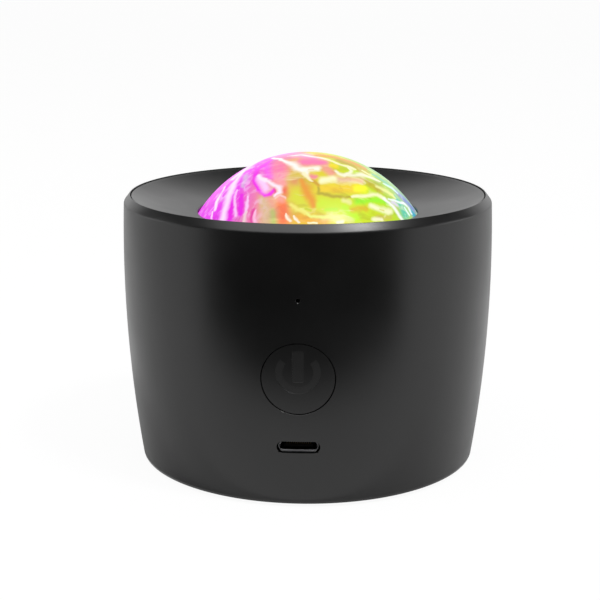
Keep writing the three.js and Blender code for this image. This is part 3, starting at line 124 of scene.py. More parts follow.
# Button and its symbol
BUTTON_GAP = 0.00016
BUTTON_RAISED = 0.00006
BUTTON_FLANGE = 0.001
BUTTON_FLANGE_RADIUS = (BUTTON_HIGH.x - BUTTON_LOW.x) / 2
BUTTON_FLANGE_LIP = 0.00153
BUTTON_STEM_RADIUS = 0.0025
BUTTON_STEM_LENGTH = 0.0012
BUTTON_RADIUS = BUTTON_FLANGE_RADIUS - BUTTON_FLANGE_LIP
BUTTON_Z = (BUTTON_LOW.z + BUTTON_HIGH.z) / 2
BORE_Z = BUTTON_Z - BUTTON_RAISED
BUTTON_EDGE = 0.00008
BUTTON_RINGS = 12
SYMBOL_DEPTH = 0.00006
SYMBOL_EDGE = 0.00002
SYMBOL_RADIUS = 0.0051
SYMBOL_STROKE = 0.0016
SYMBOL_BAR_WIDTH = 0.0026
SYMBOL_BAR_TOP = 0.0067
SYMBOL_BAR_BOTTOM = -0.0007
SYMBOL_RING_LIFT = 0.00165
SYMBOL_OPENING = 1.85
SYMBOL_STEPS = 40

# Port and pinhole
PORT_Z = (PORT_LOW.z + PORT_HIGH.z) / 2
PORT_SLOT_WIDTH = 0.01
PORT_SLOT_TALL = 0.0028
PORT_WALL_LIP = 0.0006
PORT_EDGE = 0.00004
USB_METAL = 0.0003
USB_BACK = 0.001
COLLAR_WIDTH = 0.0093
COLLAR_TALL = 0.0023
COLLAR_LIFT = 0.0002
COLLAR_METAL = 0.0002
COLLAR_SET_BACK = 0.0007
COLLAR_REACH = 0.0013
CONTACT_COUNT = 12
CONTACT_PITCH = 0.0005
CONTACT_WIDTH = 0.00025
CONTACT_PROUD = 0.00004
CONTACT_LENGTH = 0.0034
MIC_Z = (MIC_LOW.z + MIC_HIGH.z) / 2
MIC_HOLE_RADIUS = 0.0005

# Bosses inside the housing and under the dish
BOSS_RADIUS = 0.0026
HOLE_RADIUS = 0.0014
LUG_WIDTH = 0.0064
LUG_THICKNESS = 0.002
BASE_BOSS_RADIUS = 0.003
BASE_BOSS_HEIGHT = 0.009
BOARD_BOSS_RADIUS = 0.0022
BOARD_HOLE_RADIUS = 0.001
DISH_SKIN = 0.0002

# Base: cover, feet and screws
COVER_EDGE = 0.0003
FOOT_POCKET = 0.0009
FOOT_EDGE = 0.0006
FOOT_RING = 0.0012
FOOT_HOLLOW = 0.0002
SCREW_HEAD_HEIGHT = 0.0012
SCREW_RADIUS = 0.0011
SCREW_TIP = 0.0008
CROSS_WIDTH = 0.0005
CROSS_DEPTH = 0.0005
CROSS_REACH = 0.00137
FENCE_WALL = 0.0012
FENCE_HEIGHT = 0.005
FENCE_CORNER = 0.002

# Camera, from the photograph's perspective
CAMERA_PLACE = (0.01657, -0.35312, 0.1264)
CAMERA_PITCH = math.radians(13.83)
CAMERA_YAW = math.radians(3)
CAMERA_LENS = 85.5
SENSOR_WIDTH = 36
CLIP_START = 0.01
PHOTO_SIZE = 600
FOCAL_PIXELS = CAMERA_LENS / SENSOR_WIDTH * PHOTO_SIZE
CAMERA_TURN = Euler((math.pi / 2 - CAMERA_PITCH, 0, CAMERA_YAW)).to_matrix()
SIGHT = CAMERA_TURN @ Vector((0.0, 0.0, -1.0))

# Studio: places and sizes in metres, brightness as radiance where 1 is white
FLOOR_SIZE = 8.0
FLOOR_GLOW = 0.94
FLOOR_COLOUR = (0.85, 0.85, 0.85, 1.0)
FLOOR_ROUGHNESS = 0.9
AMBIENT = 0.7
WHITE = (1.0, 1.0, 1.0, 1.0)
AIM = (0.0, 0.0, 0.05)

# Softboxes: place, size and brightness
SOFTBOXES = {
    "overhead": ((-0.1, -0.36, 0.9), (1.2, 0.55), 1.95),
    "left": ((-0.95, 0.15, 0.35), (0.5, 0.5), 0.9),
    "right": ((0.95, 0.15, 0.35), (0.5, 0.5), 0.9),
    "sparkle": ((0.36, -0.28, 0.84), (0.15, 0.15), 53.0),
}

# Cards that only the gloss shows: shade, then the two edges that lie across, each as (half its width, y, z)
FLAG_SHADE = 0.02
GROUND_SHADE = 0.66
FLAG_HALF = 2.6
FLAG_TOP_HALF = 1.8
FLAG_FRONT_Y = -1.5
FLAG_BACK_Y = 2.4
FLAG_TOP_Z = 2.7
GROUND_FLAG_Z = 0.0015
FRONT_FLAG_Z = 0.002
FLAGS_ACROSS = {
    "front": (FLAG_SHADE, (0.14, -0.1, FRONT_FLAG_Z), (FLAG_HALF, FLAG_FRONT_Y, FRONT_FLAG_Z)),
    "room": (FLAG_SHADE, (FLAG_HALF, FLAG_FRONT_Y, 0.0), (FLAG_HALF, FLAG_FRONT_Y, 1.2)),
    "high": (FLAG_SHADE, (FLAG_TOP_HALF, FLAG_BACK_Y, 1.5), (FLAG_TOP_HALF, 1.6, FLAG_TOP_Z)),
    "ground": (GROUND_SHADE, (FLAG_HALF, -0.043, GROUND_FLAG_Z), (FLAG_HALF, FLAG_HALF, GROUND_FLAG_Z)),
}

# Such cards at the sides: the lower and the upper edge, each as (x, z)
FLAGS_ALONG = {
    "left": ((-3.2, 0.6), (-FLAG_TOP_HALF, FLAG_TOP_Z)),
    "right": ((3.0, 0.9), (FLAG_TOP_HALF, FLAG_TOP_Z)),
}

# Noise: its octaves, the span it mostly keeps to, its middle, and how far it mostly goes either way
COARSE_DETAIL = 2.0
MIDDLE_DETAIL = 3.0
FINE_DETAIL = 4.0
NOISE_SPAN = (0.3, 0.7)
NOISE_MIDDLE = (0.5, 0.5, 0.5)
NOISE_REACH = 0.25

# The sockets of a Mix node that serve colours: the share, the two colours, and the output
MIX_SHARE, MIX_FIRST, MIX_SECOND = 0, 6, 7
MIX_RESULT = 2

# How the materials vary: tones as shares of the colour, scales as features to the metre, depths in metres
TONE_DRIFT = 0.12
GLOSS_DRIFT = 0.03
DRIFT_SCALE = 60.0
GRAIN_STRENGTH = 0.5
PLAIN_GLOSS = 0.5
METAL_SCALE = 900.0
METAL_TONES = (0.82, 1.12)
METAL_SMOOTHER = 0.06
METAL_ROUGHER = 0.08
METAL_STRENGTH = 0.3
METAL_DEPTH = 0.00001
TRACK_SCALE = 520.0
TRACK_EDGE = 0.012
TRACK_TONES = {"Color1": 0.9, "Color2": 1.1, "Mortar": 1.4}
TRACK_STRENGTH = 0.4
TRACK_DEPTH = 0.00003
BOARD_ROUGHNESS = 0.3
BOARD_COAT = 0.3
CLEAR_TONES = (0.92, 1.05)
RIPPLE_STRENGTH = 0.3
RIPPLE_DEPTH = 0.0001
RESIN_SCALE = 700.0
RESIN_SPAN = (0.35, 0.65)
RESIN_TONES = (0.7, 1.2)
RESIN_ROUGHNESS = 0.15

# Grains of moulded things, as (width, depth), and the directions that metals are drawn along
BLACK_GRAIN = (0.0003, 0.000002)
PLASTIC_GRAIN = (0.0004, 0.000004)
LEAD_GRAIN = (0.0005, 0.000004)
EVEN = (1.0, 1.0, 1.0)
ALONG_X = (0.1, 1.0, 1.0)
ALONG_Z = (1.0, 1.0, 0.08)

# Moulded plastic and rubber: colour, roughness and grain, then for some the drift in tone and the gloss
MOULDED = {
    "shell_black": ((0.0032, 0.0032, 0.0033), 0.32, BLACK_GRAIN),
    "button_black": ((0.0036, 0.0036, 0.0037), 0.32, BLACK_GRAIN),
    # Painted shade: a near-black matt plastic for the linings of the openings, the button's side and the
    # port's tongue, dark because they lie in shade
    "opening_black": ((0.0015, 0.0015, 0.0015), 0.9, BLACK_GRAIN, TONE_DRIFT, 0.05),
    "symbol_grey": ((0.0068, 0.0068, 0.0069), 0.35, BLACK_GRAIN),
    "white_plastic": ((0.8, 0.8, 0.78), 0.45, PLASTIC_GRAIN, 0.03),
    "inner_plastic": ((0.06, 0.06, 0.065), 0.5, PLASTIC_GRAIN),
    "foot_rubber": ((0.02, 0.02, 0.02), 0.75, (0.0002, 0.00001)),
    "chip_black": ((0.02, 0.021, 0.023), 0.55, (0.0002, 0.000005)),
    "pad_foam": ((0.05, 0.05, 0.055), 0.95, (0.0007, 0.0001)),
    "lead_red": ((0.4, 0.03, 0.02), 0.38, LEAD_GRAIN),
    "lead_black": ((0.02, 0.02, 0.02), 0.38, LEAD_GRAIN),
    "lead_white": ((0.7, 0.7, 0.67), 0.38, LEAD_GRAIN, 0.04),
}

# Metals: colour and roughness, then for some the direction of the grain and its scale
METALS = {
    "steel": ((0.5, 0.51, 0.53), 0.3, ALONG_Z),
    "black_steel": ((0.06, 0.06, 0.065), 0.42),
    "port_metal": ((0.16, 0.16, 0.165), 0.36, ALONG_X, 1500.0),
    "brass": ((0.6, 0.42, 0.18), 0.34, ALONG_X),
    "gilt": ((0.62, 0.42, 0.14), 0.3),
    "aluminium": ((0.66, 0.67, 0.69), 0.38, ALONG_X),
    "cell_foil": ((0.45, 0.48, 0.52), 0.45, EVEN, 160.0),
}

# Circuit boards and light emitters: colour
BOARDS = {
    "board_green": ((0.03, 0.2, 0.08),),
    "board_white": ((0.68, 0.69, 0.68),),
}
LIGHTS = {
    "light_red": ((0.7, 0.12, 0.08),),
    "light_green": ((0.1, 0.55, 0.16),),
    "light_blue": ((0.08, 0.16, 0.7),),
    "light_white": ((0.9, 0.85, 0.6),),
}

# Clear plastic and glass: colour, roughness, how much light goes through, and ripples to the metre
CLEARS = {
    "rotor_clear": ((0.85, 0.88, 0.92), 0.12, 0.8, 220.0),
    "lens_clear": ((0.88, 0.93, 0.96), 0.03, 1.0, 90.0),
}

# The light in the dome: how far it is drawn about, how strong its fine streaks are, and their tints
FLATTENING = 0.65
GLOW_DRIFT = 0.0020
GLOW_DRIFT_SCALE = 80.0
GLOW_SHIVER = 0.00034
GLOW_SHIVER_SCALE = 330.0
GLOW_SATURATION = 1.12
GLOW_STREAK = 0.5
GLOW_SHADE = 0.5
GLOW_DEEP = (0.74, 0.6, 0.70)
GLOW_PALE = (0.98, 0.95, 0.62)
GLOW_LILAC = (0.98, 0.70, 0.98)
GLOW_BODY = (0.03, 0.03, 0.03)
# Painted shade: below the dish's inner edge the dome's light fades out over this height, so the gap between
# dome and dish shows dark
DOME_GAP_SHADE = 0.003
DOME_ROUGHNESS = 0.3
DOME_GLOSS = 0.2

# Fine streaks: turn in degrees, stretch along each axis, scale, and the noise where they start and are full
UPRIGHT_STREAKS = (-26, (1.0, 1.0, 0.12), 520.0, 0.46, 0.70)
LEVEL_STREAKS = (10, (0.22, 0.7, 1.0), 420.0, 0.50, 0.74)
SHADE_STREAKS = (14, (0.4, 0.8, 1.0), 300.0, 0.50, 0.32)
STREAK_ROUGHNESS = 0.55
STREAK_DISTORTION = 0.6

# Where across the dome the upright and the level streaks come in
UPRIGHT_FADE = (-0.006, -0.014)
LEVEL_FADE = (-0.012, -0.002)

# Where patches and brush strokes start and are full, as shares of their half width from their middle
PATCH_EDGE = (1.7, 0.1)
STROKE_EDGE = (2.1, 0.0)

# Behind BACK_Y the brush strokes are repeated, turned half round. They fade within BACK_SEAM of it, and
# hues there turn by BACK_HUE_SHARE from SAME_HUE, at which a hue stays as it is
BACK_Y = 0.0105
BACK_SEAM = 0.0045
BACK_HUE_SHARE = 0.24
SAME_HUE = 0.5

# Colour of the light in the dome round the upright line at BACK_Y, from the back by the left, the front
# and the right
GLOW_SWEEP = [
    (0.00, (0.42, 0.18, 0.70)),
    (0.16, (0.78, 0.10, 0.80)),
    (0.40, (0.84, 0.11, 0.86)),
    (0.45, (0.85, 0.30, 0.34)),
    (0.50, (0.78, 0.60, 0.06)),
    (0.59, (0.60, 0.80, 0.02)),
    (0.65, (0.40, 0.62, 0.16)),
    (0.72, (0.20, 0.45, 0.48)),
    (0.84, (0.14, 0.34, 0.62)),
    (1.00, (0.42, 0.18, 0.70)),
]

# Soft patches of colour in the dome's light: tint, then places as seen in the photograph, each with the
# patch's half width there, all in pixels
GLOW_PATCHES = {
    "mauve": ((0.69, 0.42, 0.72), [(246, 176, 3.2), (243, 186, 2.2)]),
    "pink top": ((0.95, 0.34, 0.62), [(276, 157, 5), (300, 155, 6), (314, 158, 5)]),
    "magenta pink": ((0.94, 0.16, 0.86), [(266, 166, 6), (270, 176, 5)]),
    "salmon": ((1.0, 0.29, 0.49), [(279, 168, 8), (281, 180, 6.5)]),
    "salmon foot": ((1.0, 0.42, 0.42), [(281, 183, 4.5)]),
    "coral red": ((0.86, 0.19, 0.15), [(285, 190, 3.4), (287, 196, 2.5)]),
    "sand": ((0.69, 0.48, 0.29), [(262, 199, 4.5), (266, 212, 6), (266, 222, 6)]),
    "grey green": ((0.53, 0.58, 0.17), [(272, 212, 3), (274, 222, 4)]),
    "olive": ((0.66, 0.52, 0.10), [(296, 179, 8), (304, 184, 7)]),
    "orange haze": ((0.76, 0.37, 0.16), [(294, 181, 4.5)]),
    "moss": ((0.69, 0.71, 0.08), [(297, 197, 9), (303, 205, 8)]),
    "coral": ((1.0, 0.27, 0.14), [(282, 204, 5), (284, 220, 6)]),
    "coral cap": ((1.0, 0.42, 0.36), [(280.5, 199, 4.2)]),
    "orange foot": ((0.88, 0.48, 0.10), [(298, 219, 5), (325, 221, 5)]),
    "rose": ((0.95, 0.27, 0.50), [(303, 162, 6), (323, 163, 5.5)]),
    "peach shoulder": ((0.90, 0.42, 0.32), [(326, 168, 5), (332, 173, 5)]),
    "tan outline": ((0.76, 0.36, 0.09), [(318, 155, 2.5), (334, 157, 3), (348, 161, 3), (364, 168, 3)]),
    "olive outline": ((0.58, 0.44, 0.04), [(338, 160, 2.5), (352, 165, 3), (366, 173, 4)]),
    "peach": ((0.92, 0.62, 0.40), [(340, 179.5, 5), (361, 181, 5)]),
    "gold band": ((0.90, 0.64, 0.03), [(322, 188.5, 5), (338, 188.5, 6), (356, 189, 5.5)]),
    "yellow": ((1.0, 1.0, 0.02), [(357, 188.5, 3.6), (364, 189, 4)]),
    "olive shoulder": ((0.58, 0.53, 0.06), [(368, 183, 4), (380, 190, 4)]),
    "lime": ((0.64, 0.84, 0.03), [(322, 203, 7), (345, 207, 9), (372, 214, 8)]),
    "strong lime": ((0.55, 0.95, 0.0), [(345, 208, 3.5), (356, 218, 4.5)]),
    "green": ((0.35, 0.92, 0.02), [(357, 201, 3), (378, 199.5, 3.5), (388, 204, 2.5)]),
    "gold": ((0.74, 0.56, 0.02), [(353, 209, 3.2), (366, 209, 3.4)]),
    "ochre foot": ((0.62, 0.60, 0.12), [(378, 217, 3), (390, 218, 3)]),
    "teal": ((0.10, 0.55, 0.38), [(396, 197, 2.5), (402, 207, 4), (405, 215, 4.5)]),
    "blue": ((0.22, 0.30, 0.62), [(396, 191, 3), (405, 200.5, 4.5), (413, 209, 4.5)]),
    "deep teal": ((0.06, 0.40, 0.54), [(411, 211, 3), (415, 216, 4)]),
}

# Narrower brush strokes over the patches, given in the same way
GLOW_STROKES = {
    "deep swirl": ((0.90, 0.05, 0.84), [
        (272, 160, 1.0), (258, 169, 2.4), (254.5, 179.5, 2.0), (258, 189.5, 1.8), (264.5, 195, 1.8),
        (271, 193.5, 1.6), (273.5, 190, 1.4)]),
    "crimson": ((0.76, 0.10, 0.38), [(253.5, 209, 1.5), (252.5, 222, 1.8)]),
    "magenta fibre": ((0.84, 0.06, 0.80), [(231.5, 199, 1.5), (230, 219, 2.2)]),
    "magenta plume": ((0.84, 0.06, 0.80), [(241.5, 195, 1.8), (240.5, 213, 2.6)]),
    "magenta edge": ((0.80, 0.07, 0.78), [(224, 184, 1.2), (214, 197, 1.6), (206, 209, 1.6)]),
    "hook shade": ((0.80, 0.11, 0.32), [(274, 189, 1.0), (276, 194, 1.1)]),
    "ochre line": ((0.47, 0.38, 0.01), [
        (318.5, 187, 1.4), (319.5, 193, 1.6), (332, 195.5, 1.3), (345, 197.8, 1.2), (353, 197, 0.8)]),
    "brown foot": ((0.62, 0.35, 0.05), [(313, 181, 1.8), (318, 184, 1.8)]),
    "flame": ((0.82, 0.36, 0.09), [(301.5, 180, 2.0), (306, 189, 4.0), (310, 197, 4.2), (314, 206, 2.0)]),
    "moss mark": ((0.55, 0.62, 0.03), [(306, 209, 1.2), (311, 210, 1.2)]),
    "lime streak": ((0.52, 0.87, 0.0), [(326, 209, 1.4), (337, 209, 1.4)]),
    "green line": ((0.25, 0.58, 0.38), [(372, 174, 1.2), (385, 182, 1.4), (392, 188, 1.4)]),
    # Painted reflection: a pale stroke along the upper left outline, where the white surroundings shine at a
    # grazing angle
    "painted rim reflection": ((1.0, 0.76, 1.0), [(261, 160.5, 2.1), (245, 169.5, 2.8), (232, 179.5, 1.7)]),
    "pale fibre": ((1.0, 0.76, 1.0), [(243, 172, 1.6), (232, 188, 3.1), (226, 207, 2.8), (222.5, 219, 2.9)]),
    "white fibre": ((1.0, 0.82, 1.0), [(225, 187, 0.8), (216.5, 202, 1.6), (215, 210, 1.4)]),
    "thin fibre": ((0.98, 0.60, 0.96), [(237, 190, 0.7), (234.5, 200, 1.1), (236, 215, 1.3)]),
    "short fibre": ((0.98, 0.62, 0.96), [(248, 196, 0.7), (246, 206, 1.1), (245, 214, 1.1)]),
    "beige foot": ((0.86, 0.64, 0.68), [(246, 212, 1.0), (244.5, 221, 1.8)]),
    "pink foot": ((1.0, 0.56, 0.80), [(256, 210, 0.8), (255, 222, 1.5)]),
    "pale tick": ((1.0, 0.76, 1.0), [(212.5, 212, 0.7), (212, 219, 1.0)]),
    "pale drop": ((0.97, 0.64, 0.98), [(259, 178, 3.2), (265.5, 188.5, 4.0)]),
    "drop light": ((1.0, 0.84, 0.98), [(258.5, 176, 1.5), (265, 181.5, 1.6)]),
    "hook": ((1.0, 0.84, 0.93), [
        (262, 178.5, 1.5), (272, 183.5, 1.7), (279, 188, 2.5), (280, 191.5, 2.2), (275.5, 195, 1.3)]),
    "coral arc": ((1.0, 0.62, 0.56), [(276.5, 197.5, 0.8), (281, 195.5, 1.0), (285.5, 198, 0.8)]),
    "white path": ((1.0, 0.96, 0.92), [
        (272.5, 158.5, 1.1), (282, 160, 1.6), (288, 163, 2.3), (293.5, 164.5, 3.5), (297, 168, 3.3),
        (303, 171, 2.6), (306, 173, 2.2)]),
    "cream loop": ((1.0, 0.97, 0.88), [(303, 169, 2.5), (318, 169, 2.7)]),
    "loop eye": ((0.94, 0.74, 0.52), [(308, 169.5, 0.8), (313, 169.5, 0.8)]),
    "pink drop": ((0.90, 0.31, 0.36), [(311, 176, 2.2), (315, 177, 1.9)]),
    "loop tail": ((0.97, 0.90, 0.60), [(304, 173, 1.5), (309, 178, 1.3), (313, 181.5, 0.8)]),
    "cream pad": ((0.99, 0.96, 0.62), [(322, 180.5, 2.5), (334, 179, 2.9)]),
    "top line": ((1.0, 0.90, 0.84), [
        (288, 156.5, 0.8), (300, 155, 1.0), (312, 156.5, 1.2), (324, 158.5, 1.2)]),
    "yellow line": ((0.98, 0.93, 0.60), [
        (324, 158.5, 1.2), (336, 163, 1.4), (348, 166.5, 1.2), (355, 169.5, 1.2)]),
    "yellow spot": ((0.94, 0.76, 0.10), [(331, 165.5, 2.0), (336, 166.5, 2.0)]),
    "swirl": ((0.98, 0.95, 0.74), [
        (336, 171, 1.4), (339, 173.5, 1.7), (345, 174.5, 1.7), (352, 171, 1.5), (349, 168, 1.0)]),
    "swirl tail": ((0.96, 0.94, 0.74), [
        (345, 174.5, 1.7), (360, 174.5, 1.8), (372, 178, 1.4), (380, 181.5, 1.0)]),
    "shoulder dash": ((0.90, 0.92, 0.46), [(362, 170.5, 0.9), (370, 175, 1.2)]),
    "shoulder stroke": ((0.86, 0.90, 0.36), [(376, 186, 1.3), (386, 191, 1.7), (395, 197.5, 1.3)]),
    "cyan edge": ((0.74, 0.98, 0.90), [(384, 183.5, 1.0), (392, 188, 1.4), (398, 193, 1.0)]),
    "cream wing": ((0.84, 0.84, 0.34), [(343, 200, 2.0), (350, 202, 1.9)]),
    "pale arch": ((0.96, 0.95, 0.58), [
        (352.5, 197, 1.2), (364, 195.4, 1.5), (377, 194.6, 1.8), (384.5, 198.5, 2.0)]),
    "white arch": ((0.96, 1.0, 0.96), [
        (384.5, 198.5, 1.6), (389, 203, 1.6), (394, 208, 1.9), (399.5, 215.5, 1.7), (403, 219.5, 1.3)]),
    "lilac net": ((0.72, 0.68, 0.82), [(393, 202.5, 1.8), (397, 205, 1.5)]),
    "white branch": ((0.92, 1.0, 1.0), [
        (389, 198.8, 1.0), (396, 201, 1.2), (404, 203.6, 1.2), (408, 207.6, 1.1), (412, 214, 0.9)]),
    "teal dash": ((0.80, 1.0, 0.96), [(404, 207.5, 0.7), (409.5, 215.5, 0.9)]),
    "cream patch": ((0.96, 0.97, 0.62), [(371, 206, 2.4), (380, 209, 2.7), (390, 212, 2.2)]),
    "patch eye": ((0.78, 0.74, 0.26), [(380, 209, 0.8), (384, 210, 0.7)]),
    "right foot": ((0.98, 0.96, 0.66), [(373, 219, 1.7), (382, 219.5, 1.5)]),
    "front foot": ((0.98, 0.95, 0.66), [(309, 223, 0.9), (317, 223, 0.9)]),
    "middle foot": ((0.98, 0.95, 0.66), [(338, 222, 1.2), (342, 222, 1.2)]),
    "lime line": ((0.84, 0.90, 0.26), [(301, 210, 1.2), (311, 216, 1.4), (334, 217, 1.3)]),
    "soft yellow": ((0.87, 0.80, 0.22), [(290.5, 204, 1.5), (297, 210, 1.7), (305, 213.5, 1.4)]),
    "left spark": ((1.0, 0.88, 0.72), [(286.5, 213, 0.6), (288, 217, 1.3), (290.5, 221, 1.1)]),
    "right spark": ((1.0, 0.90, 0.74), [(293.5, 216, 0.6), (296, 220, 1.0), (299, 223, 0.9)]),
}


def camera():
    data = bpy.data.cameras.new("camera")
    data.lens = CAMERA_LENS
    data.sensor_width = SENSOR_WIDTH
    data.clip_start = CLIP_START
    view = bpy.data.objects.new("camera", data)
    view.location = CAMERA_PLACE
    view.rotation_euler = (math.pi / 2 - CAMERA_PITCH, 0, CAMERA_YAW)
    bpy.context.scene.collection.objects.link(view)
    bpy.context.scene.camera = view


def draw_in(z):
    """How far the barrel draws in from its belly at a height."""
    return BARREL_ARC - math.sqrt(BARREL_ARC ** 2 - (z - BELLY_Z) ** 2)


def wall_radius(z):
    return BELLY_RADIUS - draw_in(z)


def wall_front(x, z):
    """How far in front of the axis the barrel's outer face is, at a place seen from the front."""
    return math.sqrt(wall_radius(z) ** 2 - x ** 2)


# Sizes that follow from the ones above
CHAMFER_Z = RIM_Z - RIM_CHAMFER_HEIGHT
RIM_RADIUS = wall_radius(CHAMFER_Z) - RIM_CHAMFER_WIDTH
REBATE_RADIUS = RIM_RADIUS - RIM_LAND
DISH_RADIUS = REBATE_RADIUS - FIT_GAP
LEDGE_RADIUS = REBATE_RADIUS - LEDGE_WIDTH
DISH_STEP_RADIUS = LEDGE_RADIUS - FIT_GAP
DISH_EDGE_Z = RIM_Z - DISH_EDGE_DROP
DISH_LOW_Z = RIM_Z - DISH_DEPTH
LAND_Z = DISH_LOW_Z - DISH_LIP
LEDGE_Z = DISH_EDGE_Z - DISH_WALL - FIT_GAP
DOME_CENTRE_Z = DOME_HIGH.z - DOME_SPHERE
FLANGE_RADIUS = DOME_HIGH.x
FLANGE_BOTTOM_Z = DOME_LOW.z
FLANGE_TOP_Z = FLANGE_BOTTOM_Z + FLANGE_THICKNESS
SKIRT_INNER_RADIUS = FLANGE_RADIUS + FIT_GAP
SKIRT_OUTER_RADIUS = SKIRT_INNER_RADIUS + DISH_SKIRT_WALL
COVER_REBATE_RADIUS = wall_radius(BASE_Z) - BASE_LIP
SEAT_RING_Z = SHELL_LOW.z + COVER_RECESS + COVER_THICKNESS + FIT_GAP

# The dome's centre, and how wide a pixel of the photograph is there
DOME_CENTRE = Vector((0, 0, DOME_CENTRE_Z))
DOME_PIXEL = (Vector(CAMERA_PLACE) - DOME_CENTRE).length / FOCAL_PIXELS


def dome_radius(sphere, z):
    """Radius at a height of a sphere about the dome's centre."""
    return math.sqrt(sphere ** 2 - (z - DOME_CENTRE_Z) ** 2)


DISH_HOLE_RADIUS = dome_radius(DOME_SPHERE, DISH_LOW_Z) + DOME_GAP
DISH_LAND_RADIUS = dome_radius(DOME_SPHERE, LAND_Z) + DOME_GAP


def dish_height(radius):
    """Height of the dish's top at a radius: a straight slope with a slight sag."""
    share = (radius - DISH_HOLE_RADIUS) / (DISH_RADIUS - DISH_HOLE_RADIUS)
    return DISH_LOW_Z + share * (DISH_EDGE_Z - DISH_LOW_Z) - 4 * DISH_SAG * share * (1 - share)


def spread(start, end, steps):
    """Evenly spaced values from start to end, both included."""
    return [start + (end - start) * step / steps for step in range(steps + 1)]


def add_object(name, vertices, faces):
    mesh = bpy.data.meshes.new(name)
    mesh.from_pydata([tuple(v) for v in vertices], [], faces)
    piece = bpy.data.objects.new(name, mesh)
    bpy.context.scene.collection.objects.link(piece)
    return piece


def smooth(piece):
    """Smooth shading, with sharp edges kept."""
    piece.data.shade_smooth()
    piece.data.set_sharp_from_angle(angle=SHARP_ANGLE)
    return piece


def rounded(corners):
    """An outline from corners of (x, y, rounding), with each rounding bent through its corner."""
    outline = []
    for index, (x, y, rounding) in enumerate(corners):
        corner = Vector((x, y))
        if rounding == 0:
            outline.append(corner)
            continue
        before = (Vector(corners[index - 1][:2]) - corner).normalized() * rounding
        after = (Vector(corners[(index + 1) % len(corners)][:2]) - corner).normalized() * rounding
        for share in spread(0, 1, ROUND_STEPS):
            outline.append(corner + before * (1 - share) ** 2 + after * share ** 2)
    return outline


def revolve(name, outline, segments, centre=(0, 0)):
    """A solid turned about an upright axis from a closed outline, or from one that ends on the axis."""
    vertices = []
    rings = []
    for radius, z in outline:
        if radius == 0:
            rings.append([len(vertices)] * segments)
            vertices.append((*centre, z))
            continue
        rings.append([len(vertices) + turn for turn in range(segments)])
        for turn in range(segments):
            angle = 2 * math.pi * turn / segments
            vertices.append((centre[0] + radius * math.cos(angle), centre[1] + radius * math.sin(angle), z))
    faces = []
    for low, high in zip(rings, rings[1:] + rings[:1]):
        for turn in range(segments):
            after = (turn + 1) % segments
            face = list(dict.fromkeys([low[turn], low[after], high[after], high[turn]]))
            if len(face) > 2:
                faces.append(face)
    return facing_out(add_object(name, vertices, faces))


def loft(name, rings):
    """A closed solid through rings with as many points each, with a flat face over each end."""
    count = len(rings[0])
    vertices = [point for ring in rings for point in ring]
    faces = [list(range(count))[::-1]]
    for step in range(len(rings) - 1):
        first = step * count
        for turn in range(count):
            after = (turn + 1) % count
            faces.append([first + turn, first + after, first + count + after, first + count + turn])
    faces.append([(len(rings) - 1) * count + turn for turn in range(count)])
    return facing_out(add_object(name, vertices, faces))


def facing_out(piece):
    """Turns every face of a closed solid outward."""
    mesh = piece.data
    volume = 0.0
    for face in mesh.polygons:
        corners = [mesh.vertices[index].co for index in face.vertices]
        for second, third in zip(corners[1:], corners[2:]):
            volume += corners[0].dot(second.cross(third))
    if volume < 0:
        mesh.flip_normals()
    return piece


def combine(target, others, operation):
    """The target with the others joined to it or cut away from it."""
    for other in others:
        step = target.modifiers.new("boolean", "BOOLEAN")
        step.operation = operation
        step.solver = "EXACT"
        step.object = other
    ready = target.evaluated_get(bpy.context.evaluated_depsgraph_get())
    mesh = bpy.data.meshes.new_from_object(ready)
    mesh.name = target.name
    target.modifiers.clear()
    target.data = mesh
    for other in others:
        bpy.data.objects.remove(other)
    return target


def post(radius, low, high, x, y):
    """An upright cylinder."""
    outline = [(0, low), (radius, low), (radius, high), (0, high)]
    return revolve("post", outline, SMALL_SEGMENTS, (x, y))


def circle_outline(radius, z, segments=SMALL_SEGMENTS, x=0):
    """Points of a circle on the front, as (x, z)."""
    turns = [2 * math.pi * turn / segments for turn in range(segments)]
    return [(x + radius * math.cos(turn), z + radius * math.sin(turn)) for turn in turns]


def slot_outline(width, height, corner, z):
    """Points of a rectangle with round corners on the front, as (x, z)."""
    outline = []
    for quarter, (side, level) in enumerate([(1, 1), (-1, 1), (-1, -1), (1, -1)]):
        middle_x = side * (width / 2 - corner)
        middle_z = z + level * (height / 2 - corner)
        for share in spread(0, 1, SLOT_STEPS):
            turn = (quarter + share) * math.pi / 2
            outline.append((middle_x + corner * math.cos(turn), middle_z + corner * math.sin(turn)))
    return outline


def on_wall(outline, depth):
    """An outline laid on the barrel's front, sunk below its outer face by a depth."""
    return [Vector((x, depth - wall_front(x, z), z)) for x, z in outline]


def on_plane(outline, front):
    """An outline laid flat at a distance in front of the axis."""
    return [Vector((x, -front, z)) for x, z in outline]


def mouth_cutter(name, outline_of, edge, back):
    """A cutter for an opening in the wall, with its mouth's edge broken by a small chamfer."""
    return loft(name, [
        on_wall(outline_of(edge), -OVERRUN),
        on_wall(outline_of(edge), 0),
        on_wall(outline_of(0), edge),
        on_plane(outline_of(0), back),
    ])


def wall_normals(piece):
    """Gives the barrel's outer face its true normals, so that cut edges leave no marks in its shading."""
    mesh = piece.data
    normals = [(0.0, 0.0, 0.0)] * len(mesh.loops)
    for face in mesh.polygons:
        for loop in face.loop_indices:
            x, y, z = mesh.vertices[mesh.loops[loop].vertex_index].co
            radius = math.hypot(x, y)
            if not BASE_Z < z < CHAMFER_Z or abs(radius - wall_radius(z)) > SLACK:
                continue
            slope = (z - BELLY_Z) / math.sqrt(BARREL_ARC ** 2 - (z - BELLY_Z) ** 2)
            normal = Vector((x / radius, y / radius, slope)).normalized()
            if normal.dot(face.normal) > math.cos(SHARP_ANGLE / 4):
                normals[loop] = tuple(normal)
    mesh.normals_split_custom_set(normals)
    return piece


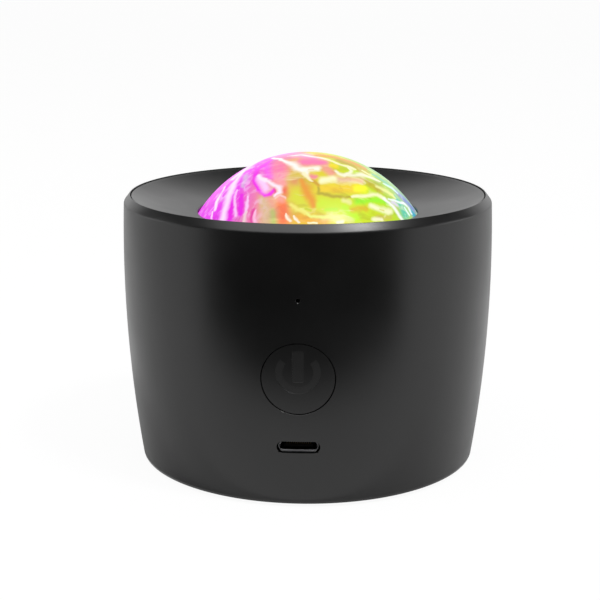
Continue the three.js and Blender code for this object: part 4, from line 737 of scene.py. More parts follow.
def shell_outline():
    """The barrel wall's section, from the base's outer edge up and round."""
    outer = [(wall_radius(z), z, 0) for z in spread(BASE_Z, CHAMFER_Z, WALL_STEPS)]
    outer[0] = (wall_radius(BASE_Z), BASE_Z, EDGE_ROUNDING)
    outer[-1] = (wall_radius(CHAMFER_Z), CHAMFER_Z, EDGE_ROUNDING)
    ledge_foot = LEDGE_Z - LEDGE_HEIGHT - LEDGE_SLOPE
    seat_top = SEAT_RING_Z + SEAT_RING_HEIGHT
    inner = [(wall_radius(z) - WALL, z, 0) for z in spread(ledge_foot, seat_top, WALL_STEPS // 4)]
    seat_radius = COVER_REBATE_RADIUS - SEAT_RING_WIDTH
    return rounded([
        *outer,
        (RIM_RADIUS, RIM_Z, FINE_ROUNDING),
        (REBATE_RADIUS, RIM_Z, FINE_ROUNDING),
        (REBATE_RADIUS, LEDGE_Z, 0),
        (LEDGE_RADIUS, LEDGE_Z, 0),
        (LEDGE_RADIUS, LEDGE_Z - LEDGE_HEIGHT, 0),
        *inner,
        (seat_radius, seat_top, 0),
        (seat_radius, SEAT_RING_Z, 0),
        (COVER_REBATE_RADIUS, SEAT_RING_Z, 0),
        (COVER_REBATE_RADIUS, BASE_Z, FINE_ROUNDING),
    ])


def front_cutters():
    """Cutters for the button's bore, the port's slot and the pocket behind it, and the pinhole."""
    back = wall_front(0, BUTTON_Z) - 2 * WALL
    face = wall_radius(PORT_Z) - PORT_WALL_LIP
    tall = PORT_HIGH.z - PORT_LOW.z + 2 * FIT_GAP
    pocket = slot_outline(PORT_SLOT_WIDTH, tall, tall / 2, PORT_Z)
    return [
        mouth_cutter(
            "bore", lambda grow: circle_outline(BUTTON_RADIUS + BUTTON_GAP + grow, BORE_Z, BARREL_SEGMENTS),
            BUTTON_EDGE / 2, back),
        mouth_cutter(
            "slot", lambda grow: slot_outline(
                PORT_SLOT_WIDTH + 2 * grow, PORT_SLOT_TALL + 2 * grow, PORT_SLOT_TALL / 2 + grow, PORT_Z),
            PORT_EDGE, back),
        loft("pocket", [on_plane(pocket, face), on_plane(pocket, back)]),
        mouth_cutter(
            "pinhole", lambda grow: circle_outline(MIC_HOLE_RADIUS + grow, MIC_Z, SMALL_SEGMENTS // 2),
            FINE_ROUNDING, back),
    ]


def polar(name):
    """A node's place as its distance from the axis and its turn from +X in degrees."""
    centre, _ = node_place(name)
    return math.hypot(centre.x, centre.y), math.degrees(math.atan2(centre.y, centre.x))


def shell_bosses():
    """The bosses inside the barrel and the holes for their screws."""
    bosses = []
    holes = []
    for name in numbered("dish_screw", 3):
        low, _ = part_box(name)
        radius, turn = polar(name)
        bottom = low.z + SCREW_HEAD_HEIGHT + CONTACT_GAP
        top = bottom + LUG_THICKNESS
        bosses.append(spoke(LUG_WIDTH, bottom, top, radius, wall_radius(top) - WALL / 2, turn))
        bosses.append(post(LUG_WIDTH / 2, bottom, top, *on_circle(radius, turn)))
        holes.append(post(HOLE_RADIUS, bottom - OVERRUN, top + OVERRUN, *on_circle(radius, turn)))
    for name in numbered("base_screw", 4):
        _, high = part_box(name)
        radius, turn = polar(name)
        top = SEAT_RING_Z + BASE_BOSS_HEIGHT
        reach = wall_radius(SEAT_RING_Z) - WALL / 4
        bosses.append(spoke(BASE_BOSS_RADIUS, SEAT_RING_Z, top, radius, reach, turn))
        bosses.append(post(BASE_BOSS_RADIUS, SEAT_RING_Z, top, *on_circle(radius, turn)))
        holes.append(post(HOLE_RADIUS, SEAT_RING_Z - OVERRUN, high.z + FIT_GAP, *on_circle(radius, turn)))
    board_front = -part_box("control_board")[0].y
    for name in numbered("board_screw", 4):
        low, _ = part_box(name)
        centre, _ = node_place(name)
        reach = wall_front(abs(centre.x) + BOARD_BOSS_RADIUS, centre.z) - WALL / 2
        bosses.append(forward_post(BOARD_BOSS_RADIUS, board_front + FIT_GAP, reach, centre.x, centre.z))
        holes.append(forward_post(BOARD_HOLE_RADIUS, board_front, FIT_GAP - low.y, centre.x, centre.z))
    return bosses, holes


def housing_shell():
    shell = revolve("housing_shell", shell_outline(), BARREL_SEGMENTS)
    combine(shell, front_cutters(), "DIFFERENCE")
    bosses, holes = shell_bosses()
    combine(shell, bosses, "UNION")
    combine(shell, holes, "DIFFERENCE")
    return wall_normals(smooth(shell))


def dish_ring():
    """The dished ring, with a rounded lip round the dome and a skirt below."""
    radii = spread(DISH_HOLE_RADIUS, DISH_RADIUS, DISH_STEPS)
    top = [(radius, dish_height(radius), 0) for radius in radii]
    top[0] = (DISH_HOLE_RADIUS, DISH_LOW_Z, LIP_ROUNDING)
    top[-1] = (DISH_RADIUS, DISH_EDGE_Z, FINE_ROUNDING)
    under = [(radius, dish_height(radius) - DISH_WALL, 0)
             for radius in spread(DISH_STEP_RADIUS, SKIRT_OUTER_RADIUS, DISH_STEPS // 2)]
    outline = rounded([
        *top,
        (DISH_RADIUS, DISH_EDGE_Z - DISH_WALL, 0),
        (DISH_STEP_RADIUS, DISH_EDGE_Z - DISH_WALL, 0),
        *under,
        (SKIRT_OUTER_RADIUS, FLANGE_BOTTOM_Z, 0),
        (SKIRT_INNER_RADIUS, FLANGE_BOTTOM_Z, 0),
        (SKIRT_INNER_RADIUS, LAND_Z, 0),
        (DISH_LAND_RADIUS, LAND_Z, 0),
    ])
    ring = revolve("dish_ring", outline, BARREL_SEGMENTS)
    bosses = []
    holes = []
    for name in numbered("dish_screw", 3) + numbered("engine_screw", 3):
        low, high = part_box(name)
        radius, turn = polar(name)
        bottom = low.z + SCREW_HEAD_HEIGHT + LUG_THICKNESS + FIT_GAP + CONTACT_GAP
        top = dish_height(radius - BOSS_RADIUS) - DISH_SKIN
        bosses.append(post(BOSS_RADIUS, bottom, top, *on_circle(radius, turn)))
        holes.append(post(HOLE_RADIUS, bottom - OVERRUN, high.z + FIT_GAP, *on_circle(radius, turn)))
    combine(ring, bosses, "UNION")
    return smooth(combine(ring, holes, "DIFFERENCE"))


def cap_arc(sphere, from_z):
    """An arc of a sphere about the dome's centre, from a height up to the axis."""
    start = math.asin((from_z - DOME_CENTRE_Z) / sphere)
    arc = [(sphere * math.cos(angle), DOME_CENTRE_Z + sphere * math.sin(angle))
           for angle in spread(start, math.pi / 2, DOME_STEPS)]
    arc[-1] = (0, arc[-1][1])
    return arc


def glow_dome():
    outline = [
        *cap_arc(DOME_SPHERE, FLANGE_TOP_Z)[::-1],
        (FLANGE_RADIUS, FLANGE_TOP_Z),
        (FLANGE_RADIUS, FLANGE_BOTTOM_Z),
        *cap_arc(DOME_SPHERE - DOME_WALL, FLANGE_BOTTOM_Z),
    ]
    return smooth(revolve("glow_dome", outline, DOME_SEGMENTS))


def symbol_ring(grow):
    """The outline of the symbol's open ring, as (x, z)."""
    low = (math.pi + SYMBOL_OPENING) / 2
    high = (5 * math.pi - SYMBOL_OPENING) / 2
    outer = SYMBOL_RADIUS + grow
    inner = SYMBOL_RADIUS - SYMBOL_STROKE - grow
    middle_z = BUTTON_Z + SYMBOL_RING_LIFT
    turns = spread(low - grow / SYMBOL_RADIUS, high + grow / SYMBOL_RADIUS, SYMBOL_STEPS)
    points = [(outer * math.cos(turn), middle_z + outer * math.sin(turn)) for turn in turns]
    return points + [(inner * math.cos(turn), middle_z + inner * math.sin(turn)) for turn in turns[::-1]]


def symbol_bar(grow):
    """The outline of the bar that stands in the ring's opening, as (x, z)."""
    height = SYMBOL_BAR_TOP - SYMBOL_BAR_BOTTOM
    middle_z = BUTTON_Z + (SYMBOL_BAR_TOP + SYMBOL_BAR_BOTTOM) / 2
    corner = SYMBOL_STROKE / 4 + grow
    return slot_outline(SYMBOL_BAR_WIDTH + 2 * grow, height + 2 * grow, corner, middle_z)


def symbol_cutter(outline_of):
    return loft("symbol", [
        on_wall(outline_of(SYMBOL_EDGE), -OVERRUN),
        on_wall(outline_of(SYMBOL_EDGE), 0),
        on_wall(outline_of(0), SYMBOL_EDGE),
        on_wall(outline_of(0), SYMBOL_DEPTH),
    ])


def button_cap():
    """The round cap: a face that follows the barrel, a rounded edge, a flange behind the wall and a stem."""
    face = [(BUTTON_RADIUS - BUTTON_EDGE) * share for share in spread(1 / BUTTON_RINGS, 1, BUTTON_RINGS - 1)]
    rings = [on_wall(circle_outline(radius, BUTTON_Z, BARREL_SEGMENTS), 0) for radius in face]
    for turn in spread(0, math.pi / 2, ROUND_STEPS)[1:]:
        radius = BUTTON_RADIUS - BUTTON_EDGE * (1 - math.sin(turn))
        depth = BUTTON_EDGE * (1 - math.cos(turn))
        rings.append(on_wall(circle_outline(radius, BUTTON_Z, BARREL_SEGMENTS), depth))
    stem_back = -BUTTON_HIGH.y
    flange_back = stem_back + BUTTON_STEM_LENGTH
    flange_front = flange_back + BUTTON_FLANGE
    for radius, front in [
        (BUTTON_RADIUS, flange_front),
        (BUTTON_FLANGE_RADIUS, flange_front),
        (BUTTON_FLANGE_RADIUS, flange_back),
        (BUTTON_STEM_RADIUS, flange_back),
        (BUTTON_STEM_RADIUS, stem_back),
    ]:
        rings.append(on_plane(circle_outline(radius, BUTTON_Z, BARREL_SEGMENTS), front))
    cap = loft("button_cap", rings)
    combine(cap, [symbol_cutter(symbol_ring), symbol_cutter(symbol_bar)], "DIFFERENCE")
    return wall_normals(smooth(cap))


def on_level(outline, z):
    """An outline of (x, y) laid flat at a height."""
    return [Vector((x, y, z)) for x, y in outline]


def block(low, high):
    corners = [(low[0], low[1]), (high[0], low[1]), (high[0], high[1]), (low[0], high[1])]
    return loft("block", [on_level(corners, low[2]), on_level(corners, high[2])])


def on_circle(radius, turn):
    turn = math.radians(turn)
    return radius * math.cos(turn), radius * math.sin(turn)


def forward_post(radius, back, front, x, z):
    """A cylinder that points to the front."""
    outline = circle_outline(radius, z, x=x)
    return loft("forward_post", [on_plane(outline, back), on_plane(outline, front)])


def spoke(width, low, high, inner, outer, turn):
    """A web that runs outward from the axis."""
    web = block((inner, -width / 2, low), (outer, width / 2, high))
    web.data.transform(Matrix.Rotation(math.radians(turn), 4, "Z"))
    return web


def node_place(name):
    """Middle of a node and half its width across."""
    low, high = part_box(name)
    return (low + high) / 2, (high.x - low.x) / 2


def screw_piece(name):
    """A case screw with a round-edged head, a cross recess and a pointed end."""
    low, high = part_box(name)
    centre, radius = node_place(name)
    outline = rounded([
        (0, low.z, 0),
        (radius, low.z, SCREW_HEAD_HEIGHT / 3),
        (radius, low.z + SCREW_HEAD_HEIGHT, 0),
        (SCREW_RADIUS, low.z + SCREW_HEAD_HEIGHT, 0),
        (SCREW_RADIUS, high.z - SCREW_TIP, 0),
        (SCREW_RADIUS / 2, high.z, 0),
        (0, high.z, 0),
    ])
    outline = [(max(0.0, point[0]), point[1]) for point in outline]
    piece = revolve(name + "_cross", outline, SMALL_SEGMENTS, (centre.x, centre.y))
    half = CROSS_WIDTH / 2
    floor_z = low.z + CROSS_DEPTH
    arms = [(CROSS_REACH, half), (half, CROSS_REACH)]
    slots = [block((centre.x - x, centre.y - y, low.z - OVERRUN), (centre.x + x, centre.y + y, floor_z))
             for x, y in arms]
    return smooth(combine(piece, slots, "DIFFERENCE"))


def foot_piece(name):
    """A rubber foot with a rounded edge and a shallow hollow underneath."""
    low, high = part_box(name)
    centre, radius = node_place(name)
    outline = rounded([
        (0, low.z + FOOT_HOLLOW, 0),
        (radius - FOOT_RING - FOOT_HOLLOW, low.z + FOOT_HOLLOW, FOOT_HOLLOW),
        (radius - FOOT_RING, low.z, FOOT_HOLLOW),
        (radius, low.z, FOOT_EDGE),
        (radius, high.z, 0),
        (0, high.z, 0),
    ])
    return smooth(revolve(name + "_rubber", outline, SMALL_SEGMENTS, (centre.x, centre.y)))


def cover_plate():
    """The bottom cover with pockets for the feet, seats for the screws and a fence round the battery."""
    low_z = COVER_LOW.z
    fence_top = COVER_HIGH.z
    plate_top = fence_top - FENCE_HEIGHT
    plate = revolve("cover_plate", rounded([
        (0, low_z, 0),
        (COVER_HIGH.x, low_z, COVER_EDGE),
        (COVER_HIGH.x, plate_top, 0),
        (0, plate_top, 0),
    ]), BARREL_SEGMENTS)
    cell_low, cell_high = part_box("battery_cell")
    middle_y = (cell_low.y + cell_high.y) / 2
    width = cell_high.x - cell_low.x + 2 * FIT_GAP
    depth = cell_high.y - cell_low.y + 2 * FIT_GAP
    inner = slot_outline(width, depth, FENCE_CORNER, middle_y)
    outer = slot_outline(width + 2 * FENCE_WALL, depth + 2 * FENCE_WALL, FENCE_CORNER, middle_y)
    fence = loft("fence", [on_level(outer, (low_z + plate_top) / 2), on_level(outer, fence_top)])
    room = loft("room", [on_level(inner, plate_top), on_level(inner, fence_top + OVERRUN)])
    cutters = [room]
    for name in numbered("foot", 4):
        centre, radius = node_place(name)
        cutters.append(post(radius + FIT_GAP, low_z - OVERRUN, low_z + FOOT_POCKET, centre.x, centre.y))
    for name in numbered("base_screw", 4):
        centre, radius = node_place(name)
        seat_z = low_z + SCREW_HEAD_HEIGHT + CONTACT_GAP
        cutters.append(post(radius + FIT_GAP, low_z - OVERRUN, seat_z, centre.x, centre.y))
        cutters.append(post(HOLE_RADIUS, low_z - OVERRUN, plate_top + OVERRUN, centre.x, centre.y))
    return smooth(combine(combine(plate, [fence], "UNION"), cutters, "DIFFERENCE"))


def numbered(name, count):
    return [f"{name}_{index}" for index in range(1, count + 1)]


def port_sleeve():
    """The receptacle's folded metal sleeve, its mouth drawn in to a collar, with a closed back."""
    width = PORT_HIGH.x - PORT_LOW.x
    tall = PORT_HIGH.z - PORT_LOW.z
    front, back = -PORT_LOW.y, -PORT_HIGH.y
    mouth = wall_radius(PORT_Z) - COLLAR_SET_BACK

    def ring(wide, high, inset, at, lift=0.0):
        outline = slot_outline(wide - 2 * inset, high - 2 * inset, high / 2 - inset, PORT_Z + lift)
        return on_plane(outline, at)

    lip = COLLAR_METAL / 3
    collar = [
        (0, front),
        (0, mouth - lip),
        (lip, mouth),
        (COLLAR_METAL - lip, mouth),
        (COLLAR_METAL, mouth - lip),
        (COLLAR_METAL, mouth - COLLAR_REACH),
    ]
    return smooth(loft("port_sleeve", [
        ring(width, tall, 0, back),
        ring(width, tall, 0, front),
        *[ring(COLLAR_WIDTH, COLLAR_TALL, inset, at, COLLAR_LIFT) for inset, at in collar],
        ring(width, tall, USB_METAL, mouth - COLLAR_REACH),
        ring(width, tall, USB_METAL, back + USB_BACK),
    ]))


def port_tongue():
    """The contact tongue, with its front edges broken."""
    width = TONGUE_HIGH.x - TONGUE_LOW.x
    tall = TONGUE_HIGH.z - TONGUE_LOW.z
    front, back = -TONGUE_LOW.y, -TONGUE_HIGH.y
    edge = tall / 6
    whole = slot_outline(width, tall, edge, PORT_Z)
    drawn = slot_outline(width - 2 * edge, tall - 2 * edge, edge, PORT_Z)
    return smooth(loft("port_tongue", [
        on_plane(whole, back),
        on_plane(whole, front - edge),
        on_plane(drawn, front),
    ]))


def port_contacts():
    """Two rows of gilt contact strips on the tongue, as one piece."""
    front = -TONGUE_LOW.y - USB_METAL
    vertices = []
    faces = []
    for level in (-1, 1):
        skin = PORT_Z + level * (TONGUE_HIGH.z - TONGUE_LOW.z) / 2
        for index in range(CONTACT_COUNT):
            x = (index - (CONTACT_COUNT - 1) / 2) * CONTACT_PITCH
            first = len(vertices)
            for rise, inset in [(-CONTACT_PROUD, 0), (CONTACT_PROUD, CONTACT_PROUD)]:
                half = CONTACT_WIDTH / 2 - inset
                z = skin + level * rise
                for side, y in [(-1, inset - front), (1, inset - front),
                                (1, CONTACT_LENGTH - front), (-1, CONTACT_LENGTH - front)]:
                    vertices.append((x + side * half, y, z))
            for face in [(0, 1, 2, 3), (4, 5, 6, 7), (0, 1, 5, 4), (1, 2, 6, 5), (2, 3, 7, 6), (3, 0, 4, 7)]:
                faces.append([first + corner for corner in face])
    return add_object("port_contacts", vertices, faces)


def mark_faces(piece, chosen, index=1):
    """Gives the faces whose corners all pass a test the piece's second or third material."""
    for face in piece.data.polygons:
        if all(chosen(*piece.data.vertices[corner].co) for corner in face.vertices):
            face.material_index = index


def from_button(x, z):
    return math.hypot(x, z - BUTTON_Z)


def below_wall(x, y, z):
    """How deep a place lies behind the barrel's outer face."""
    return wall_radius(z) - math.hypot(x, y)


def in_opening(x, y, z):
    """Whether a place is on the lining of the port's slot and pocket, or of the button's bore."""
    depth = below_wall(x, y, z)
    if y > 0 or depth > 2 * WALL:
        return False
    side, level = abs(x), abs(z - PORT_Z)
    in_slot = side < PORT_SLOT_WIDTH / 2 + 2 * PORT_EDGE and level < PORT_SLOT_TALL / 2 + 2 * PORT_EDGE
    in_pocket = side < PORT_SLOT_WIDTH and level < PORT_SLOT_TALL and depth > PORT_EDGE / 2
    return in_slot or in_pocket or from_button(x, z) < BUTTON_RADIUS + BUTTON_GAP + BUTTON_EDGE


def on_symbol_floor(x, y, z):
    inside = from_button(x, z) < BUTTON_RADIUS - 2 * BUTTON_EDGE
    return inside and abs(below_wall(x, y, z) - SYMBOL_DEPTH) < SYMBOL_DEPTH / 2


def on_button_side(x, y, z):
    return from_button(x, z) > BUTTON_RADIUS - BUTTON_EDGE - SLACK


def node_tree(name):
    """A new material, its node tree and its shader."""
    material = bpy.data.materials.new(name)
    material.use_nodes = True
    tree = material.node_tree
    return material, tree, tree.nodes["Principled BSDF"]


def feed(tree, socket, value):
    """Links an input to the output that feeds it, or sets it to a value."""
    if isinstance(value, bpy.types.NodeSocket):
        tree.links.new(value, socket)
    else:
        socket.default_value = value


def set_inputs(tree, node, **inputs):
    """Feeds a node's inputs by their names, with an underscore for each blank."""
    for name, value in inputs.items():
        feed(tree, node.inputs[name.replace("_", " ")], value)
    return node


def add_node(tree, kind, **inputs):
    return set_inputs(tree, tree.nodes.new(kind), **inputs)


def noise(tree, vector, scale, detail=MIDDLE_DETAIL, roughness=0.5, distortion=0.0):
    return add_node(
        tree, "ShaderNodeTexNoise", Vector=vector, Scale=scale, Detail=detail, Roughness=roughness,
        Distortion=distortion).outputs


def position(tree):
    return tree.nodes.new("ShaderNodeTexCoord").outputs["Object"]


def parts_of(tree, place):
    return add_node(tree, "ShaderNodeSeparateXYZ", Vector=place).outputs


def ramp(tree, value, stops):
    """A colour ramp through stops of (share, colour)."""
    node = add_node(tree, "ShaderNodeValToRGB", Fac=value)
    elements = node.color_ramp.elements
    while len(elements) < len(stops):
        elements.new(1.0)
    for element, (share, colour) in zip(elements, stops):
        element.position = share
        element.color = (*colour, 1.0)
    return node.outputs["Color"]


def map_range(tree, value, low, high, to_low, to_high):
    """A value taken from one range to another."""
    return add_node(
        tree, "ShaderNodeMapRange", Value=value, From_Min=low, From_Max=high, To_Min=to_low,
        To_Max=to_high).outputs["Result"]


def faded(tree, value, start, end):
    """A soft passage from nought at the start to one at the end."""
    node = add_node(tree, "ShaderNodeMapRange", Value=value, From_Min=start, From_Max=end)
    node.interpolation_type = "SMOOTHSTEP"
    node.clamp = False
    return node.outputs["Result"]


def bump(tree, height, strength, distance):
    return add_node(tree, "ShaderNodeBump", Height=height, Strength=strength, Distance=distance).outputs[0]


def scaled(colour, factor):
    return tuple(min(1.0, channel * factor) for channel in colour)


def toned(tree, value, colour, tones, span=NOISE_SPAN):
    """A colour that goes from one tone of it to another as a noise goes through its span."""
    return ramp(tree, value, [(share, scaled(colour, tone)) for share, tone in zip(span, tones)])


def moulded(name, colour, roughness, grain, variation=TONE_DRIFT, gloss=PLAIN_GLOSS):
    """Moulded plastic or rubber: a fine grain in the surface and a faint drift in tone and gloss."""
    material, tree, shader = node_tree(name)
    width, depth = grain
    place = position(tree)
    drift = noise(tree, place, DRIFT_SCALE)["Fac"]
    fine = noise(tree, place, 1 / width, COARSE_DETAIL)["Fac"]
    set_inputs(
        tree, shader,
        Base_Color=toned(tree, drift, colour, (1 - variation, 1 + variation)),
        Roughness=map_range(tree, drift, *NOISE_SPAN, roughness - GLOSS_DRIFT, roughness + GLOSS_DRIFT),
        Normal=bump(tree, fine, GRAIN_STRENGTH, depth),
        Specular_IOR_Level=gloss)
    return material


def metal(name, colour, roughness, stretch=EVEN, scale=METAL_SCALE):
    """Metal with a brushed or cast grain, finer across the stretch than along it."""
    material, tree, shader = node_tree(name)
    lay = add_node(tree, "ShaderNodeMapping", Vector=position(tree), Scale=stretch)
    grain = noise(tree, lay.outputs[0], scale, FINE_DETAIL)["Fac"]
    set_inputs(
        tree, shader,
        Base_Color=toned(tree, grain, colour, METAL_TONES),
        Roughness=map_range(
            tree, grain, *NOISE_SPAN, roughness - METAL_SMOOTHER, roughness + METAL_ROUGHER),
        Normal=bump(tree, grain, METAL_STRENGTH, METAL_DEPTH),
        Metallic=1.0)
    return material


def circuit_board(name, colour):
    """Solder mask with faint tracks showing through."""
    material, tree, shader = node_tree(name)
    tracks = add_node(
        tree, "ShaderNodeTexBrick", Vector=position(tree), Scale=TRACK_SCALE, Mortar_Size=TRACK_EDGE)
    for part, tone in TRACK_TONES.items():
        tracks.inputs[part].default_value = (*scaled(colour, tone), 1.0)
    set_inputs(
        tree, shader,
        Base_Color=tracks.outputs["Color"],
        Normal=bump(tree, tracks.outputs["Fac"], TRACK_STRENGTH, TRACK_DEPTH),
        Roughness=BOARD_ROUGHNESS,
        Coat_Weight=BOARD_COAT)
    return material


def clear(name, colour, roughness, transmission, ripples):
    """Clear moulded plastic or glass with soft ripples in its face."""
    material, tree, shader = node_tree(name)
    waves = noise(tree, position(tree), ripples, COARSE_DETAIL)["Fac"]
    set_inputs(
        tree, shader,
        Base_Color=toned(tree, waves, colour, CLEAR_TONES),
        Normal=bump(tree, waves, RIPPLE_STRENGTH, RIPPLE_DEPTH),
        Roughness=roughness,
        Transmission_Weight=transmission)
    return material


def emitter(name, colour):
    """Clear resin over a lit chip."""
    material, tree, shader = node_tree(name)
    depth = noise(tree, position(tree), RESIN_SCALE)["Fac"]
    shades = toned(tree, depth, colour, RESIN_TONES, RESIN_SPAN)
    set_inputs(
        tree, shader,
        Base_Color=shades,
        Emission_Color=shades,
        Emission_Strength=1.0,
        Roughness=RESIN_ROUGHNESS)
    return material


def flattened(place):
    """A place moved towards the plane that faces the camera, which keeps strokes wide at the outline."""
    return place - SIGHT * (FLATTENING * SIGHT.dot(place))


def seen_on_dome(across, down):
    """The place on the dome that the camera sees at a pixel, or the place nearest to it on the outline."""
    sight = CAMERA_TURN @ Vector((across - PHOTO_SIZE / 2, PHOTO_SIZE / 2 - down, -FOCAL_PIXELS))
    sight.normalize()
    offset = Vector(CAMERA_PLACE) - DOME_CENTRE
    middle = -sight.dot(offset)
    half_chord = math.sqrt(max(0.0, middle ** 2 - offset.length_squared + DOME_SPHERE ** 2))
    return flattened(DOME_CENTRE + (offset + sight * (middle - half_chord)).normalized() * DOME_SPHERE)


def vector_math(tree, operation, first, second):
    """A vector worked out from two inputs, or a number where the operation gives one."""
    node = tree.nodes.new("ShaderNodeVectorMath")
    node.operation = operation
    feed(tree, node.inputs[0], first)
    feed(tree, node.inputs["Scale" if operation == "SCALE" else 1], second)
    return node.outputs["Value" if operation in ("DOT_PRODUCT", "DISTANCE") else "Vector"]


def math_node(tree, operation, *values):
    node = tree.nodes.new("ShaderNodeMath")
    node.operation = operation
    for socket, value in zip(node.inputs, values):
        feed(tree, socket, value)
    return node.outputs[0]


def mixed(tree, share, first, second, blend="MIX"):
    """The first colour mixed towards the second by a share; each is an output or (red, green, blue)."""
    node = tree.nodes.new("ShaderNodeMix")
    node.data_type = "RGBA"
    node.blend_type = blend
    feed(tree, node.inputs[MIX_SHARE], share)
    for index, colour in [(MIX_FIRST, first), (MIX_SECOND, second)]:
        feed(tree, node.inputs[index], (*colour, 1.0) if isinstance(colour, tuple) else colour)
    return node.outputs[MIX_RESULT]


def flattened_output(tree, place):
    """The same as flattened() does, for a place that is an output."""
    depth = vector_math(tree, "DOT_PRODUCT", place, SIGHT)
    return vector_math(tree, "SUBTRACT", place, vector_math(tree, "SCALE", SIGHT * FLATTENING, depth))


def warped(tree, place, scale, reach):
    """A place pushed about by noise, up to about a reach either way."""
    push = noise(tree, place, scale, COARSE_DETAIL)["Color"]
    centred = vector_math(tree, "SUBTRACT", push, NOISE_MIDDLE)
    return vector_math(tree, "ADD", place, vector_math(tree, "SCALE", centred, reach / NOISE_REACH))


def streaks(tree, place, turn, stretch, scale, low, high):
    """Strokes drawn out along one direction, as shares from nought to one."""
    lay = add_node(
        tree, "ShaderNodeMapping", Vector=place, Rotation=(0.0, math.radians(turn), 0.0), Scale=stretch)
    strokes = noise(tree, lay.outputs[0], scale, MIDDLE_DETAIL, STREAK_ROUGHNESS, STREAK_DISTORTION)["Fac"]
    return faded(tree, strokes, low, high)


def brush_part():
    """A node group: how much of a soft stroke, straight from a start along a run, covers a place."""
    group = bpy.data.node_groups.new("brush_part", "ShaderNodeTree")
    for kind, names in [("Vector", "Place Start Run Slope"), ("Float", "Width Widening Outer Inner")]:
        for name in names.split():
            group.interface.new_socket(name, in_out="INPUT", socket_type="NodeSocket" + kind)
    group.interface.new_socket("Share", in_out="OUTPUT", socket_type="NodeSocketFloat")
    given = group.nodes.new("NodeGroupInput").outputs
    offset = vector_math(group, "SUBTRACT", given["Place"], given["Start"])
    travel = vector_math(group, "DOT_PRODUCT", offset, given["Slope"])
    travel = math_node(group, "MINIMUM", math_node(group, "MAXIMUM", travel, 0.0), 1.0)
    nearest = vector_math(group, "SCALE", given["Run"], travel)
    width = math_node(group, "MULTIPLY_ADD", travel, given["Widening"], given["Width"])
    reach = math_node(group, "DIVIDE", vector_math(group, "DISTANCE", offset, nearest), width)
    add_node(group, "NodeGroupOutput", Share=faded(group, reach, given["Outer"], given["Inner"]))
    return group


def brush(tree, place, spots, outer, inner):
    """A soft brush stroke through spots of (across, down, half width), as a share from nought to one."""
    group = bpy.data.node_groups.get("brush_part") or brush_part()
    whole = None
    for first, second in zip(spots, spots[1:] or spots):
        start = seen_on_dome(*first[:2])
        run = seen_on_dome(*second[:2]) - start
        part = tree.nodes.new("ShaderNodeGroup")
        part.node_tree = group
        set_inputs(
            tree, part,
            Place=place,
            Start=start,
            Run=run,
            Slope=run / max(run.length_squared, DOME_PIXEL ** 2),
            Width=first[2] * DOME_PIXEL,
            Widening=(second[2] - first[2]) * DOME_PIXEL,
            Outer=outer,
            Inner=inner)
        share = part.outputs["Share"]
        whole = share if whole is None else math_node(tree, "MAXIMUM", whole, share)
    return whole


def sweep(tree, place):
    """Colour that changes with the turn about the upright line at BACK_Y."""
    spun = add_node(
        tree, "ShaderNodeMapping", Vector=place, Rotation=(0, 0, math.pi / 2), Location=(BACK_Y, 0, 0))
    turn = add_node(tree, "ShaderNodeTexGradient", Vector=spun.outputs[0])
    turn.gradient_type = "RADIAL"
    return ramp(tree, turn.outputs["Fac"], GLOW_SWEEP)


def brought_forward(tree, place):
    """A place, turned half round if it lies behind, with how far it is from the seam as a share."""
    parts = parts_of(tree, place)
    behind = math_node(tree, "GREATER_THAN", parts["Y"], BACK_Y)
    side = map_range(tree, behind, 0.0, 1.0, 1.0, -1.0)
    x, y = [math_node(tree, "MULTIPLY", parts[name], side) for name in "XY"]
    joined = add_node(tree, "ShaderNodeCombineXYZ", X=x, Y=y, Z=parts["Z"])
    away = math_node(tree, "ABSOLUTE", math_node(tree, "SUBTRACT", parts["Y"], BACK_Y))
    return joined.outputs[0], faded(tree, away, BACK_SEAM / 4, BACK_SEAM)


def painted(tree, colour, place, strokes, strength, outer, inner):
    """A colour with brush strokes laid over it one after another."""
    for tint, spots in strokes.values():
        share = math_node(tree, "MULTIPLY", brush(tree, place, spots, outer, inner), strength)
        colour = mixed(tree, share, colour, tint)
    return colour


